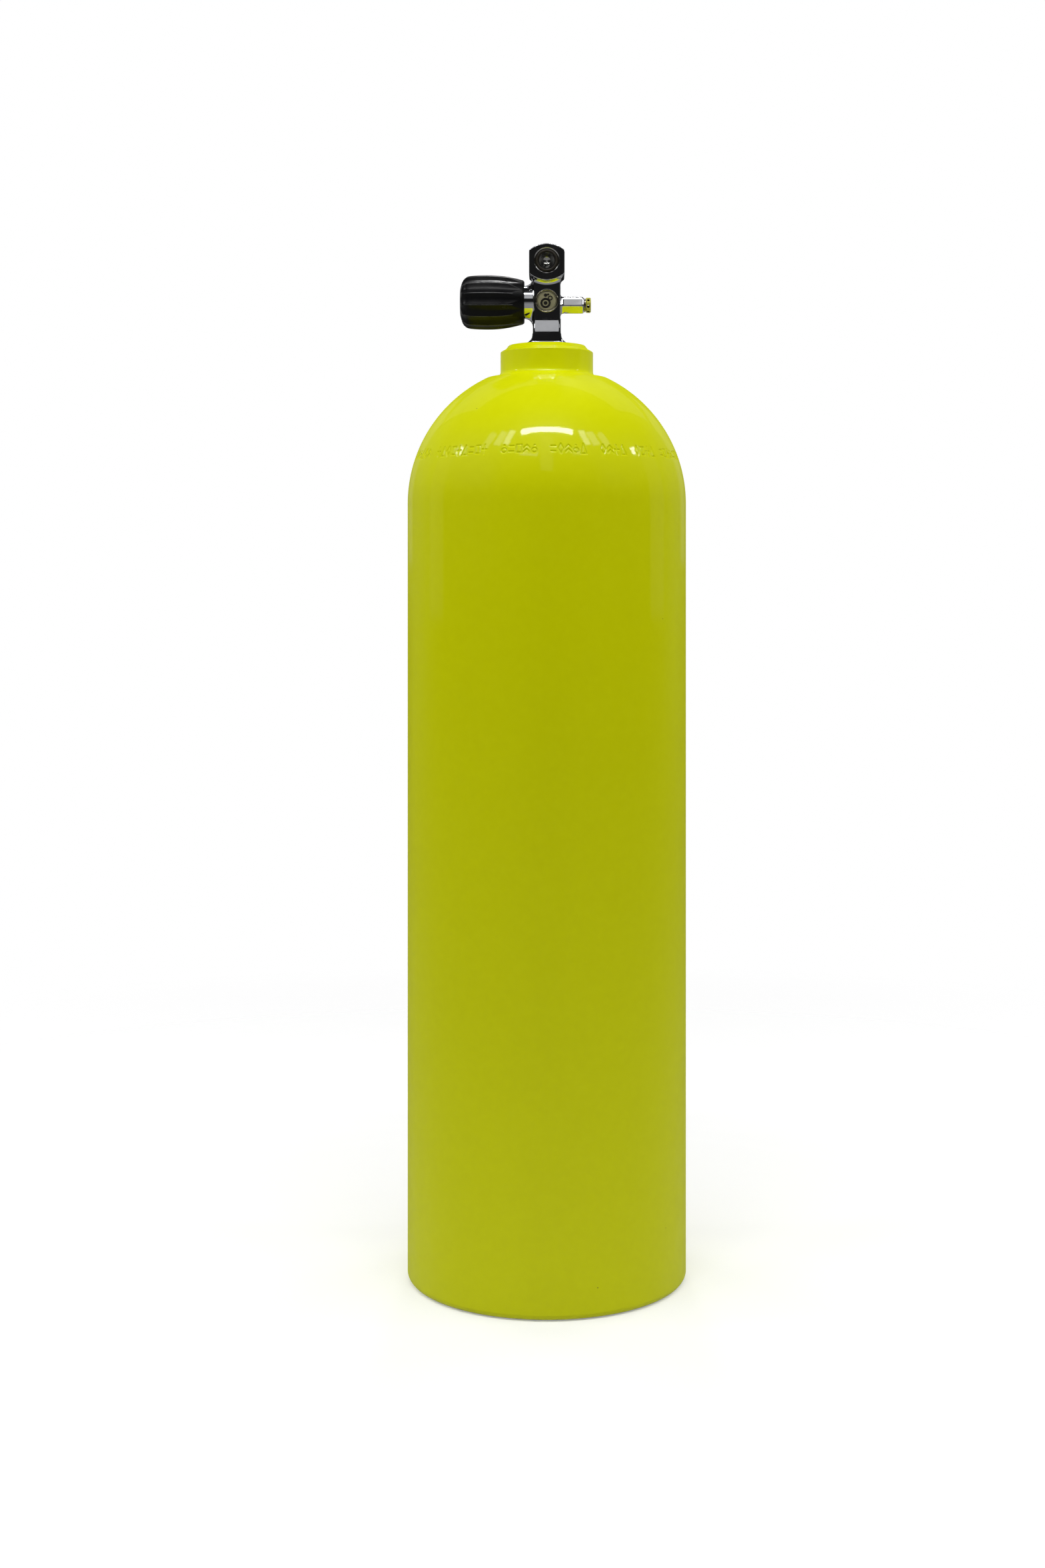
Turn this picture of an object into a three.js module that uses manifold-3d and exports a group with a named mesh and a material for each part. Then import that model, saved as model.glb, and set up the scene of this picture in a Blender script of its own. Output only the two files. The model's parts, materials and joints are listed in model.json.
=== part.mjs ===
// Scuba tank with a yoke valve, as an assembly of separate pieces.
// Millimetres, +Z up. The origin is the centre of the foot ring, the outlet looks along -Y,
// the handwheel lies along -X and the burst disc plug along +X.
import * as THREE from 'three';
import { mergeVertices } from 'three/addons/utils/BufferGeometryUtils.js';
import Module from 'manifold-3d';

const wasm = await Module();
wasm.setup();

// ---- Driving dimensions ------------------------------------------------------------------

const GAP = 0.3; // clearance between neighbouring pieces

const FINE = 48; // facets round the cylinder
const ROUND = 28; // facets round medium pieces
const SMALL = 20; // facets round small pieces
const DRILL = 12; // facets round drilled holes
const BEAD = 6; // facets round the section of a ring or a wire

// cylinder
const TANK_RADIUS = 101.6;
const TANK_WALL = 15;
const TANK_BASE = 22;
const NECK_TOP = 678.3; // seating face of the valve
const DOME_CENTRE = 563; // height of the hemisphere's centre
const DOME_EDGE = 44; // radius where the dome meets the land under the neck
const FOOT = { inner: 70, outer: 96.6, recess: 1.5, dishEdge: 66 };
const NECK = { radius: 33.8, foot: 37.8, footHeight: 655.2, fillet: 4 };
const NECK_RIM = {
  side: 673.2, roundRadius: 32.8, shoulder: 674.3, ledge: 30, chamferFoot: 675.7, top: 28,
};
const NECK_BORE = 13.6;
const NECK_SEAL = { radius: 16.1, depth: 3.1, ring: 14.2, section: 1.4 };
const INNER_CORNER = 22;

// valve body, heights above the neck's top face
const STEM_HEIGHT = 32.1;
const BURST_HEIGHT = 30;
const PORT_HEIGHT = 60.6;
const SHANK = { radius: 13, root: 12.2, bottom: -24.3, threadTop: -4, pitch: 1.81, threads: 10 };
const FLANGE = { radius: 16.6, bottom: GAP, top: 1.8 };
const FLARE = { wide: 16.3, narrow: 10.3, top: 7.8, halfDepth: 12.2 };
const COLUMN = {
  halfWidth: 10, halfDepth: 10.2, shoulderTop: 17.5,
  shoulderFoot: 9.9, top: 56, edge: 1,
};
const HEAD = {
  halfWidth: 12.9, halfDepth: 15.5, bottom: 46.2, top: 72.9,
  arc: 19.5, edge: 1, fillet: 4,
};
const BONNET_BOSS = { radius: 11.85, end: -22 };
const BURST_BOSS = { across: 11.9, corner: 6.7, end: 27.1, edge: 1, turn: 40 };

// outlet in the head's front face: radius and depth below the face
const PORT = {
  mouth: 9.45, groove: 8.3, chamfer: 1.15,
  grooveDepth: 2.8, lip: 5.95, lipDepth: 0.6,
};
const BOWL = { mouth: 5.4, waist: 4.4, waistDepth: 2.2, floor: 2, floorDepth: 4.7 };
const DIMPLE = { mouth: 5.6, floor: 3.2, depth: 5 };
const YOKE_RING = { radius: 7.12, section: 1.1, depth: 1.4 };
const BADGE = { radius: 8.5, height: 31.9, recess: 0.9, proud: 0.3 };

// bores, with x measured along the stem
const CHAMBER = { radius: 6, floor: 0.5, end: -14.9 };
const CROWN = { radius: 3.5, bore: 2.4, face: -0.5 };
const INLET = { x: 5.2, radius: 2.6 };
const OUTLET = { radius: 1.7, below: 3.3 };
const BONNET_BORE = 8.5;
const BURST_PORT = { radius: 4.4, seat: 17.5, lead: 2 };
const TUBE = { outer: 4, inner: 2.5, top: -16, bottom: -84, socket: 4.3, slant: 5 };

// stem line, x values
const PLUG = {
  radius: 5.6, root: 5.05, rim: -1.4, pocket: 4.2,
  pocketFloor: -3.5, slotFloor: -5.5, rear: -11.5,
};
const PLUG_THREAD = { start: -4.3, pitch: 1.27, threads: 5 };
const SEAT_DISC = { radius: 3.9, front: CROWN.face - GAP, rear: PLUG.pocketFloor + GAP };
const TANG = { thick: 1.8, width: 9.6, tip: -8.7, slot: 2.4 };
const STEM = { collar: 5.6, collarFront: -15.6, collarRear: -17.6, shaft: 3.9, shoulder: -30.5 };
const STEM_SQUARE = { across: 6.2, end: -52.4, hole: 6.9 };
const STEM_END = { radius: 2.9, end: -61.2 };
const STEM_GROOVE = { radius: 2.65, front: -22.3, rear: -24.7 };
const STEM_RING = { radius: 3.42, section: 0.6 };
const THRUST = { inner: 4.3, outer: 5.7, thickness: 1 };
const BONNET = {
  spigot: 8.2, front: -15.2, counterbore: 6, step: -19.2,
  bore: 4.2, across: 20, rear: -29.5,
};
const BONNET_GASKET = { inner: 8.7, outer: 11.2, thickness: 0.9 };

// handwheel, x values
const HUB = {
  radius: 7.5, front: -31, webFront: -44, webRear: -50.6,
  cavity: 12.4, mouth: -17.6, end: -61.4,
};
const HUB_RECESS = 8.2;
const CUP = { inner: 4.8, outer: 7.6, thickness: 0.8 };
const SPRING = { radius: 6, wire: 0.6, turns: 3, front: -52.7, rear: -57 };
const NUT = {
  flange: 7.3, flangeFront: -57.9, flangeRear: -59,
  across: 11, rear: -62.6, bore: 3.2,
};
const GRIP = { mouth: -16.3, mouthRadius: 14.2, end: -63.3, endRadius: 9, endInner: -61.7 };
const FLUTES = {
  count: 14, depth: 1.3, columns: 5, start: 18.5,
  full: 32, fadeInner: 13, fadeOuter: 17.5,
};

// burst disc line, x values
const BURST_GASKET = { inner: 2.6, outer: 4.1, thickness: 0.9 };
const BURST_DISC = { radius: 4.1, thickness: 0.4 };
const BURST_SPIGOT = { radius: 4.1, bore: 1.8, boreEnd: 31.2 };
const BURST_WASHER = { inner: 4.5, outer: 5.15, thickness: 0.9 };
const BURST_HEX = {
  across: 9.7, end: 32.2, edge: 0.8, vents: 3,
  ventRadius: 1.05, ventX: 30.3, turn: 18,
};

// ---- Materials ---------------------------------------------------------------------------

function finish(color, roughness, metalness) {
  return new THREE.MeshStandardMaterial({ color, roughness, metalness });
}

const paint = finish(0xb4ba00, 0.25, 0.1);
const chrome = finish(0xc9ccd2, 0.08, 1);
const brass = finish(0xc79a3a, 0.3, 1);
const copper = finish(0xb5653a, 0.35, 1);
const steel = finish(0x9a9ca0, 0.35, 1);
const blackRubber = finish(0x111111, 0.55, 0);
const hardPlastic = finish(0x1b1b1d, 0.45, 0);
const nylon = finish(0xe6e2d4, 0.5, 0);
const enamel = finish(0x8f8a68, 0.35, 0.4);

// ---- Solids ------------------------------------------------------------------------------

/** Turns a closed three.js geometry into a manifold solid. */
function solid(geometry) {
  geometry.deleteAttribute('normal');
  geometry.deleteAttribute('uv');
  const merged = mergeVertices(geometry, 1e-4);
  const index = merged.index.array;
  const triVerts = [];
  for (let i = 0; i < index.length; i += 3) {
    const [a, b, c] = index.slice(i, i + 3);
    if (a !== b && b !== c && c !== a) triVerts.push(a, b, c);
  }
  return new wasm.Manifold(new wasm.Mesh({
    numProp: 3,
    vertProperties: merged.attributes.position.array,
    triVerts: Uint32Array.from(triVerts),
  }));
}

/** Turns a manifold solid into a mesh's geometry. */
function geometryOf(body) {
  const { vertProperties, triVerts } = body.getMesh();
  const indexed = new THREE.BufferGeometry();
  indexed.setAttribute('position', new THREE.BufferAttribute(vertProperties, 3));
  indexed.setIndex(new THREE.BufferAttribute(triVerts, 1));
  const geometry = indexed.toNonIndexed();
  geometry.computeVertexNormals();
  return geometry;
}

/** Twice the area inside a profile, positive when it runs anticlockwise. */
function turnSense(profile) {
  return profile.reduce((sum, [r, h], i) => {
    const [nextR, nextH] = profile[(i + 1) % profile.length];
    return sum + r * nextH - nextR * h;
  }, 0);
}

/** A profile of [radius, height] points revolved round Y; it ends on the axis or is closed here. */
function revolved(profile, facets) {
  const outline = turnSense(profile) < 0 ? [...profile].reverse() : [...profile];
  const onAxis = outline[0][0] === 0 && outline.at(-1)[0] === 0;
  if (!onAxis) outline.push(outline[0]);
  return new THREE.LatheGeometry(outline.map(([r, h]) => new THREE.Vector2(r, h)), facets);
}

const turnedY = (profile, facets) => solid(revolved(profile, facets));
const turnedZ = (profile, facets) => solid(revolved(profile, facets).rotateX(Math.PI / 2));
const turnedX = (profile, facets) => solid(revolved(profile, facets).rotateZ(-Math.PI / 2));

/** Profile of a solid disc, from height a to height b. */
function disc(radius, a, b) {
  const low = Math.min(a, b);
  const high = Math.max(a, b);
  return [[0, low], [radius, low], [radius, high], [0, high]];
}

/** Profile of a flat ring. */
const ring = (inner, outer, a, b) => [[inner, a], [outer, a], [outer, b], [inner, b]];

/** Points along an arc in a profile, angles in degrees from the outward direction. */
function arc(centreR, centreH, radius, from, to, steps) {
  return Array.from({ length: steps + 1 }, (_, i) => {
    const angle = THREE.MathUtils.degToRad(from + ((to - from) * i) / steps);
    return [centreR + radius * Math.cos(angle), centreH + radius * Math.sin(angle)];
  });
}

/** Profile of a round-section ring. */
function ringSection(radius, height, section) {
  return arc(radius, height, section, 0, 360, BEAD).slice(0, -1);
}

/** A screw thread drawn as V ridges: profile points from low to high. */
function threadRidges(crest, root, start, pitch, count) {
  return Array.from({ length: count }, (_, i) => [
    [root, start + i * pitch],
    [crest, start + (i + 0.5) * pitch],
  ]).flat();
}

/** A regular prism along X, sized across its flats. */
function prismX(sides, across, from, to) {
  const corner = across / 2 / Math.cos(Math.PI / sides);
  return turnedX(disc(corner, from, to), sides);
}

/** A block between two corners. */
function block(low, high) {
  const size = low.map((value, i) => high[i] - value);
  const centre = low.map((value, i) => (high[i] + value) / 2);
  return solid(new THREE.BoxGeometry(...size).translate(...centre));
}

/** A drilled hole from one point to another. */
function drill(from, to, radius) {
  const start = new THREE.Vector3(...from);
  const along = new THREE.Vector3(...to).sub(start);
  const upright = new THREE.Vector3(0, 1, 0);
  const turn = new THREE.Quaternion().setFromUnitVectors(upright, along.clone().normalize());
  const hole = new THREE.CylinderGeometry(radius, radius, along.length(), DRILL);
  hole.applyQuaternion(turn);
  const middle = start.addScaledVector(along, 0.5);
  return solid(hole.translate(middle.x, middle.y, middle.z));
}

/** Cuts every tool out of a body. */
const cut = (body, ...tools) => tools.reduce((left, tool) => left.subtract(tool), body);

/** Joins bodies into one. */
const join = (...bodies) => bodies.reduce((whole, body) => whole.add(body));

// ---- Cylinder ----------------------------------------------------------------------------

function cylinderShell() {
  const bore = TANK_RADIUS - TANK_WALL;
  const footCorner = TANK_RADIUS - FOOT.outer;
  const domeEnd = THREE.MathUtils.radToDeg(Math.acos(DOME_EDGE / TANK_RADIUS));
  const innerEnd = THREE.MathUtils.radToDeg(Math.acos(NECK_BORE / bore));
  const outside = [
    [0, FOOT.recess],
    [FOOT.dishEdge, FOOT.recess],
    [FOOT.inner, 0],
    ...arc(FOOT.outer, footCorner, footCorner, -90, 0, 3),
    ...arc(0, DOME_CENTRE, TANK_RADIUS, 0, domeEnd, 9),
    ...arc(NECK.foot, NECK.footHeight + NECK.fillet, NECK.fillet, 270, 180, 3),
    [NECK.radius, NECK_RIM.side],
    [NECK_RIM.roundRadius, NECK_RIM.shoulder],
    [NECK_RIM.ledge, NECK_RIM.chamferFoot],
    [NECK_RIM.top, NECK_TOP],
  ];
  const inside = [
    [NECK_SEAL.radius, NECK_TOP],
    [NECK_SEAL.radius, NECK_TOP - NECK_SEAL.depth],
    [NECK_BORE, NECK_TOP - NECK_SEAL.depth],
    ...arc(0, DOME_CENTRE, bore, innerEnd, 0, 7),
    ...arc(bore - INNER_CORNER, TANK_BASE + INNER_CORNER, INNER_CORNER, 0, -90, 3),
    [0, TANK_BASE],
  ];
  return turnedZ([...outside, ...inside], FINE);
}

// ---- Valve body --------------------------------------------------------------------------

/** Threaded shank, sealing flange and the foot whose sides curve out over it. */
function valveFoot() {
  const shank = turnedZ([
    [0, SHANK.bottom],
    [SHANK.root, SHANK.bottom],
    ...threadRidges(SHANK.radius, SHANK.root, SHANK.bottom + 1, SHANK.pitch, SHANK.threads),
    [SHANK.root, SHANK.threadTop],
    [SHANK.root, FLANGE.bottom + 0.5],
    [0, FLANGE.bottom + 0.5],
  ], SMALL);
  const flange = turnedZ(disc(FLANGE.radius, FLANGE.bottom, FLANGE.top), ROUND);
  const rise = FLARE.top - FLANGE.top;
  const curve = Array.from({ length: 6 }, (_, i) => {
    const angle = ((5 - i) / 5) * Math.PI / 2;
    const narrowing = (FLARE.wide - FLARE.narrow) * Math.cos(angle);
    return [FLARE.wide - narrowing, FLARE.top - rise * Math.sin(angle)];
  });
  const side = [[FLARE.wide, 1], ...curve];
  const mirrored = side.map(([x, z]) => [-x, z]).reverse();
  const outline = new THREE.Shape([...side, ...mirrored].map(([x, z]) => new THREE.Vector2(x, z)));
  const sides = new THREE.ExtrudeGeometry(outline, { depth: 2 * FLARE.halfDepth, bevelEnabled: false });
  const flare = solid(sides.translate(0, 0, -FLARE.halfDepth).rotateX(Math.PI / 2));
  const round = turnedZ(disc(FLARE.wide, 0, FLARE.top + 1), ROUND);
  return join(shank, flange, flare.intersect(round));
}

/** Column of the body: its side outline, seen along X, with the sloped shoulder and head fillet. */
function valveColumn() {
  const { halfDepth, shoulderTop, shoulderFoot, top, halfWidth, edge } = COLUMN;
  const headFillet = arc(halfDepth + HEAD.fillet, HEAD.bottom - HEAD.fillet, HEAD.fillet, 180, 90, 4);
  const front = [
    [FLARE.halfDepth, 1],
    [FLARE.halfDepth, shoulderFoot],
    [halfDepth, shoulderTop],
    ...headFillet,
    [halfDepth + HEAD.fillet, top],
  ];
  const back = front.map(([y, z]) => [-y, z]).reverse();
  const outline = new THREE.Shape([...front, ...back].map(([y, z]) => new THREE.Vector2(y, z)));
  const column = new THREE.ExtrudeGeometry(outline, {
    depth: 2 * (halfWidth - edge),
    bevelThickness: edge,
    bevelSize: edge,
    bevelOffset: -edge,
    bevelSegments: 1,
  });
  column.translate(0, 0, edge - halfWidth);
  return solid(column.rotateX(Math.PI / 2).rotateZ(Math.PI / 2));
}

/** Yoke head: flat sides, arched top and bottom, extruded front to back. */
function valveHead() {
  const { halfWidth, halfDepth, bottom, top, arc: radius, edge } = HEAD;
  const half = Math.asin(halfWidth / radius);
  const outline = new THREE.Shape();
  outline.absarc(0, top - radius, radius, Math.PI / 2 - half, Math.PI / 2 + half, false);
  outline.absarc(0, bottom + radius, radius, -Math.PI / 2 - half, -Math.PI / 2 + half, false);
  const head = new THREE.ExtrudeGeometry(outline, {
    depth: 2 * (halfDepth - edge),
    curveSegments: 12,
    bevelThickness: edge,
    bevelSize: edge,
    bevelOffset: -edge,
    bevelSegments: 2,
  });
  return solid(head.translate(0, 0, edge - halfDepth).rotateX(Math.PI / 2));
}

/** Outlet recess: chamfered mouth, seal groove, inner lip and bowl, as a cutting tool. */
function outletTool() {
  const face = -HEAD.halfDepth;
  const groove = turnedY([
    [PORT.lip, face - 1],
    [PORT.mouth, face - 1],
    [PORT.mouth, face],
    [PORT.groove, face + PORT.chamfer],
    [PORT.groove, face + PORT.grooveDepth],
    [PORT.lip, face + PORT.grooveDepth],
  ], ROUND);
  const bowl = turnedY([
    [0, face - 1],
    [PORT.lip + 0.1, face - 1],
    [PORT.lip + 0.1, face + PORT.lipDepth],
    [BOWL.mouth, face + PORT.lipDepth],
    [BOWL.waist, face + BOWL.waistDepth],
    [BOWL.floor, face + BOWL.floorDepth],
    [0, face + BOWL.floorDepth],
  ], ROUND);
  return join(groove, bowl).translate([0, 0, PORT_HEIGHT]);
}

/** Dimple in the back of the head that the yoke's screw presses into, as a cutting tool. */
function dimpleTool() {
  const face = HEAD.halfDepth;
  const { mouth, floor, depth } = DIMPLE;
  return turnedY([
    [0, face - depth],
    [floor, face - depth],
    [mouth, face],
    [mouth, face + 1],
    [0, face + 1],
  ], SMALL).translate([0, 0, PORT_HEIGHT]);
}

/** Seat chamber with its raised crown, the bonnet's bore, and the burst disc's port. */
function sideBores() {
  const chamber = turnedX(disc(CHAMBER.radius, CHAMBER.end - 1, CHAMBER.floor), ROUND);
  const crown = turnedX(disc(CROWN.radius, CROWN.face, CHAMBER.floor), SMALL);
  const orifice = drill([CROWN.face - 1, 0, 0], [INLET.x + 1, 0, 0], CROWN.bore);
  const bonnetBore = turnedX(disc(BONNET_BORE, BONNET_BOSS.end - 1, CHAMBER.end), ROUND);
  const stemSide = join(chamber.subtract(crown), orifice, bonnetBore).translate([0, 0, STEM_HEIGHT]);
  const lead = drill([INLET.x - 1, 0, 0], [BURST_PORT.seat + 1, 0, 0], BURST_PORT.lead);
  const port = turnedX(disc(BURST_PORT.radius, BURST_PORT.seat, BURST_BOSS.end + 1), SMALL);
  return join(stemSide, join(lead, port).translate([0, 0, BURST_HEIGHT]));
}

/** Gas ways: up from the shank to the seat, and from the seat chamber to the outlet's bowl. */
function gasWays() {
  const socket = turnedZ(disc(TUBE.socket, SHANK.bottom - 1, TUBE.top + GAP), SMALL);
  const inlet = drill([0, 0, TUBE.top - 1], [INLET.x, 0, STEM_HEIGHT + 1], INLET.radius);
  const bowlFloor = [0, BOWL.floorDepth - HEAD.halfDepth - 1.5, PORT_HEIGHT - OUTLET.below];
  const chamberTop = [CHAMBER.floor - 2.2, 0, STEM_HEIGHT + CHAMBER.radius - 1];
  return join(socket, inlet, drill(bowlFloor, chamberTop, OUTLET.radius));
}

function valveBody() {
  const bonnetBoss = turnedX(disc(BONNET_BOSS.radius, BONNET_BOSS.end, 0.5 - COLUMN.halfWidth), ROUND);
  const burstCorners = turnedX([
    [0, 0],
    [BURST_BOSS.corner, 0],
    [BURST_BOSS.corner, BURST_BOSS.end - BURST_BOSS.edge],
    [BURST_BOSS.corner - BURST_BOSS.edge, BURST_BOSS.end],
    [0, BURST_BOSS.end],
  ], FINE);
  const burstFlats = prismX(6, BURST_BOSS.across, -1, BURST_BOSS.end + 1);
  const burstBoss = burstCorners.intersect(burstFlats.rotate([BURST_BOSS.turn, 0, 0]));
  const outside = join(
    valveFoot(),
    valveColumn(),
    valveHead(),
    bonnetBoss.translate([0, 0, STEM_HEIGHT]),
    burstBoss.translate([0, 0, BURST_HEIGHT]),
  );
  const badgeFloor = BADGE.recess - COLUMN.halfDepth;
  const badgeSeat = turnedY(disc(BADGE.radius + GAP, -FLARE.halfDepth, badgeFloor), ROUND);
  return cut(
    outside,
    outletTool(),
    dimpleTool(),
    sideBores(),
    gasWays(),
    badgeSeat.translate([0, 0, BADGE.height]),
  );
}

// ---- Small pieces of the valve -----------------------------------------------------------

/** Round plate that fills the badge's recess and stands a little proud. */
function badgePlate() {
  const back = BADGE.recess - COLUMN.halfDepth - GAP;
  const front = -COLUMN.halfDepth - BADGE.proud;
  return turnedY([
    [0, back],
    [BADGE.radius, back],
    [BADGE.radius, front + 0.2],
    [BADGE.radius - 0.2, front],
    [0, front],
  ], ROUND);
}

/** Tube below the shank, with a slanted lower end. */
function dipTube() {
  const tube = turnedZ(ring(TUBE.inner, TUBE.outer, TUBE.bottom, TUBE.top), DRILL);
  const knife = block([-2 * TUBE.outer, -20, -20], [2 * TUBE.outer, 20, 0]);
  const tilt = THREE.MathUtils.radToDeg(Math.atan2(TUBE.slant, 2 * TUBE.outer));
  return tube.subtract(knife.rotate([0, tilt, 0]).translate([0, 0, TUBE.bottom + TUBE.slant / 2]));
}

/** Nut that closes the seat chamber and carries the stem. */
function bonnetNut() {
  const hexFront = BONNET_BOSS.end - BONNET_GASKET.thickness - 2 * GAP;
  const spigot = turnedX(disc(BONNET.spigot, BONNET.front, hexFront), ROUND);
  const hex = prismX(6, BONNET.across, BONNET.rear, hexFront);
  const counterbore = turnedX(disc(BONNET.counterbore, BONNET.front + 1, BONNET.step), SMALL);
  const bore = turnedX(disc(BONNET.bore, BONNET.rear - 1, BONNET.front + 1), SMALL);
  return cut(join(spigot, hex), counterbore, bore);
}

/** Spindle: flat tang, thrust collar, sealed shaft, square drive and threaded end. */
function stemSpindle() {
  const tang = block(
    [STEM.collarFront - 1, -TANG.thick / 2, -TANG.width / 2],
    [TANG.tip, TANG.thick / 2, TANG.width / 2],
  );
  const shaft = turnedX([
    [0, STEM.shoulder],
    [STEM.shaft, STEM.shoulder],
    [STEM.shaft, STEM_GROOVE.rear],
    [STEM_GROOVE.radius, STEM_GROOVE.rear],
    [STEM_GROOVE.radius, STEM_GROOVE.front],
    [STEM.shaft, STEM_GROOVE.front],
    [STEM.shaft, STEM.collarRear],
    [STEM.collar, STEM.collarRear],
    [STEM.collar, STEM.collarFront],
    [0, STEM.collarFront],
  ], SMALL);
  const half = STEM_SQUARE.across / 2;
  const square = block([STEM_SQUARE.end, -half, -half], [STEM.shoulder + 1, half, half]);
  const end = turnedX(disc(STEM_END.radius, STEM_END.end, STEM_SQUARE.end + 1), DRILL);
  return join(tang, shaft, square, end);
}

/** Threaded plug that carries the seat disc in front and takes the tang behind. */
function seatPlug() {
  const { start, pitch, threads } = PLUG_THREAD;
  const body = turnedX([
    [0, PLUG.rear],
    [PLUG.root, PLUG.rear],
    ...threadRidges(PLUG.radius, PLUG.root, start - threads * pitch, pitch, threads),
    [PLUG.root, start],
    [PLUG.root, PLUG.rim],
    [PLUG.pocket, PLUG.rim],
    [PLUG.pocket, PLUG.pocketFloor],
    [0, PLUG.pocketFloor],
  ], SMALL);
  const slot = block(
    [PLUG.rear - 1, -TANG.slot / 2, -PLUG.radius - 1],
    [PLUG.slotFloor, TANG.slot / 2, PLUG.radius + 1],
  );
  return body.subtract(slot);
}

// ---- Handwheel ---------------------------------------------------------------------------

/** Outline of the wheel as [radius, x], from the mouth over the crown to the end. */
function wheelOutline(points) {
  const crown = [[16.1, -17.6], [17.6, -23.5], [19, -30], [19.8, -38], [19.85, -48], [19.2, -56.6]];
  const end = [[17.6, -59.8], [15.4, -61.5], [12.6, -62.5], [GRIP.endRadius, GRIP.end]];
  const through = [...crown, ...end].map(([r, x]) => new THREE.Vector2(r, x));
  return new THREE.SplineCurve(through).getPoints(points).map(({ x: r, y: x }) => [r, x]);
}

/** Inner line of the grip, which is also the hub's outside less the clearance. */
const HUB_LINE = [[13.9, HUB.mouth], [14.6, -24], [16, -36], [16.6, -47], [15.6, -56], [12.4, HUB.end]];

/** Hub of the wheel: cavity for the bonnet, square-holed web and recess for spring and nut. */
function handwheelCore() {
  const squareHalf = STEM_SQUARE.hole / 2;
  const body = turnedX([
    ...HUB_LINE,
    [HUB_RECESS, HUB.end],
    [HUB_RECESS, HUB.webRear],
    [1, HUB.webRear],
    [1, HUB.front],
    [HUB.radius, HUB.front],
    [HUB.radius, HUB.webFront],
    [HUB.cavity, HUB.webFront],
    [HUB.cavity, HUB.mouth],
  ], ROUND);
  const square = block([HUB.end, -squareHalf, -squareHalf], [HUB.mouth, squareHalf, squareHalf]);
  return body.subtract(square);
}

/** Rubber sleeve with scalloped flutes that run out at the mouth and at the outer end. */
function handwheelGrip() {
  const outer = wheelOutline(9);
  const inner = HUB_LINE.map(([r, x]) => [r + GAP, x === HUB.end ? GRIP.endInner : x]);
  const profile = [
    [GRIP.mouthRadius, GRIP.mouth],
    [GRIP.mouthRadius + 0.9, GRIP.mouth],
    ...outer,
    [GRIP.endRadius, GRIP.endInner],
    ...inner.reverse(),
  ];
  const sleeve = revolved(profile, FLUTES.count * FLUTES.columns);
  const places = sleeve.attributes.position;
  const outside = new Set(outer.map(([r, x]) => `${r.toFixed(3)} ${x.toFixed(3)}`));
  for (let i = 0; i < places.count; i += 1) {
    const across = Math.hypot(places.getX(i), places.getZ(i));
    const x = places.getY(i);
    if (!outside.has(`${across.toFixed(3)} ${x.toFixed(3)}`)) continue;
    const angle = Math.atan2(places.getX(i), places.getZ(i));
    const along = (angle / (2 * Math.PI)) * FLUTES.count + FLUTES.count;
    const scallop = 1 - (2 * (along % 1) - 1) ** 2;
    const runIn = THREE.MathUtils.smoothstep(-x, FLUTES.start, FLUTES.full);
    const runOut = THREE.MathUtils.smoothstep(across, FLUTES.fadeInner, FLUTES.fadeOuter);
    const scale = 1 - (FLUTES.depth * scallop * runIn * runOut) / across;
    places.setX(i, places.getX(i) * scale);
    places.setZ(i, places.getZ(i) * scale);
  }
  return solid(sleeve.rotateZ(-Math.PI / 2));
}

/** Helix round the X axis. */
class Helix extends THREE.Curve {
  constructor(radius, from, to, turns) {
    super();
    Object.assign(this, { radius, from, to, turns });
  }

  getPoint(t, target = new THREE.Vector3()) {
    const angle = t * this.turns * 2 * Math.PI;
    const x = THREE.MathUtils.lerp(this.from, this.to, t);
    return target.set(x, this.radius * Math.cos(angle), this.radius * Math.sin(angle));
  }
}

/** Coil spring that holds the wheel against its nut. */
function handwheelSpring() {
  const corners = Array.from({ length: BEAD }, (_, i) => {
    const angle = (i / BEAD) * 2 * Math.PI;
    return new THREE.Vector2(SPRING.wire * Math.cos(angle), SPRING.wire * Math.sin(angle));
  });
  const helix = new Helix(SPRING.radius, SPRING.front, SPRING.rear, SPRING.turns);
  const coil = { steps: 12 * SPRING.turns, extrudePath: helix };
  return solid(new THREE.ExtrudeGeometry(new THREE.Shape(corners), coil));
}

/** Nut that holds the wheel on the stem. */
function handwheelNut() {
  const flange = turnedX(disc(NUT.flange, NUT.flangeRear, NUT.flangeFront), SMALL);
  const hex = prismX(6, NUT.across, NUT.rear, NUT.flangeRear + 0.5);
  const bore = turnedX(disc(NUT.bore, NUT.rear - 1, NUT.flangeFront + 1), DRILL);
  return join(flange, hex).subtract(bore);
}

// ---- Burst disc assembly -----------------------------------------------------------------

const BURST_GASKET_START = BURST_PORT.seat + GAP;
const BURST_DISC_START = BURST_GASKET_START + BURST_GASKET.thickness + GAP;
const BURST_PLUG_START = BURST_DISC_START + BURST_DISC.thickness + GAP;
const BURST_WASHER_START = BURST_BOSS.end + GAP;
const BURST_HEX_START = BURST_WASHER_START + BURST_WASHER.thickness + GAP;

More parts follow.
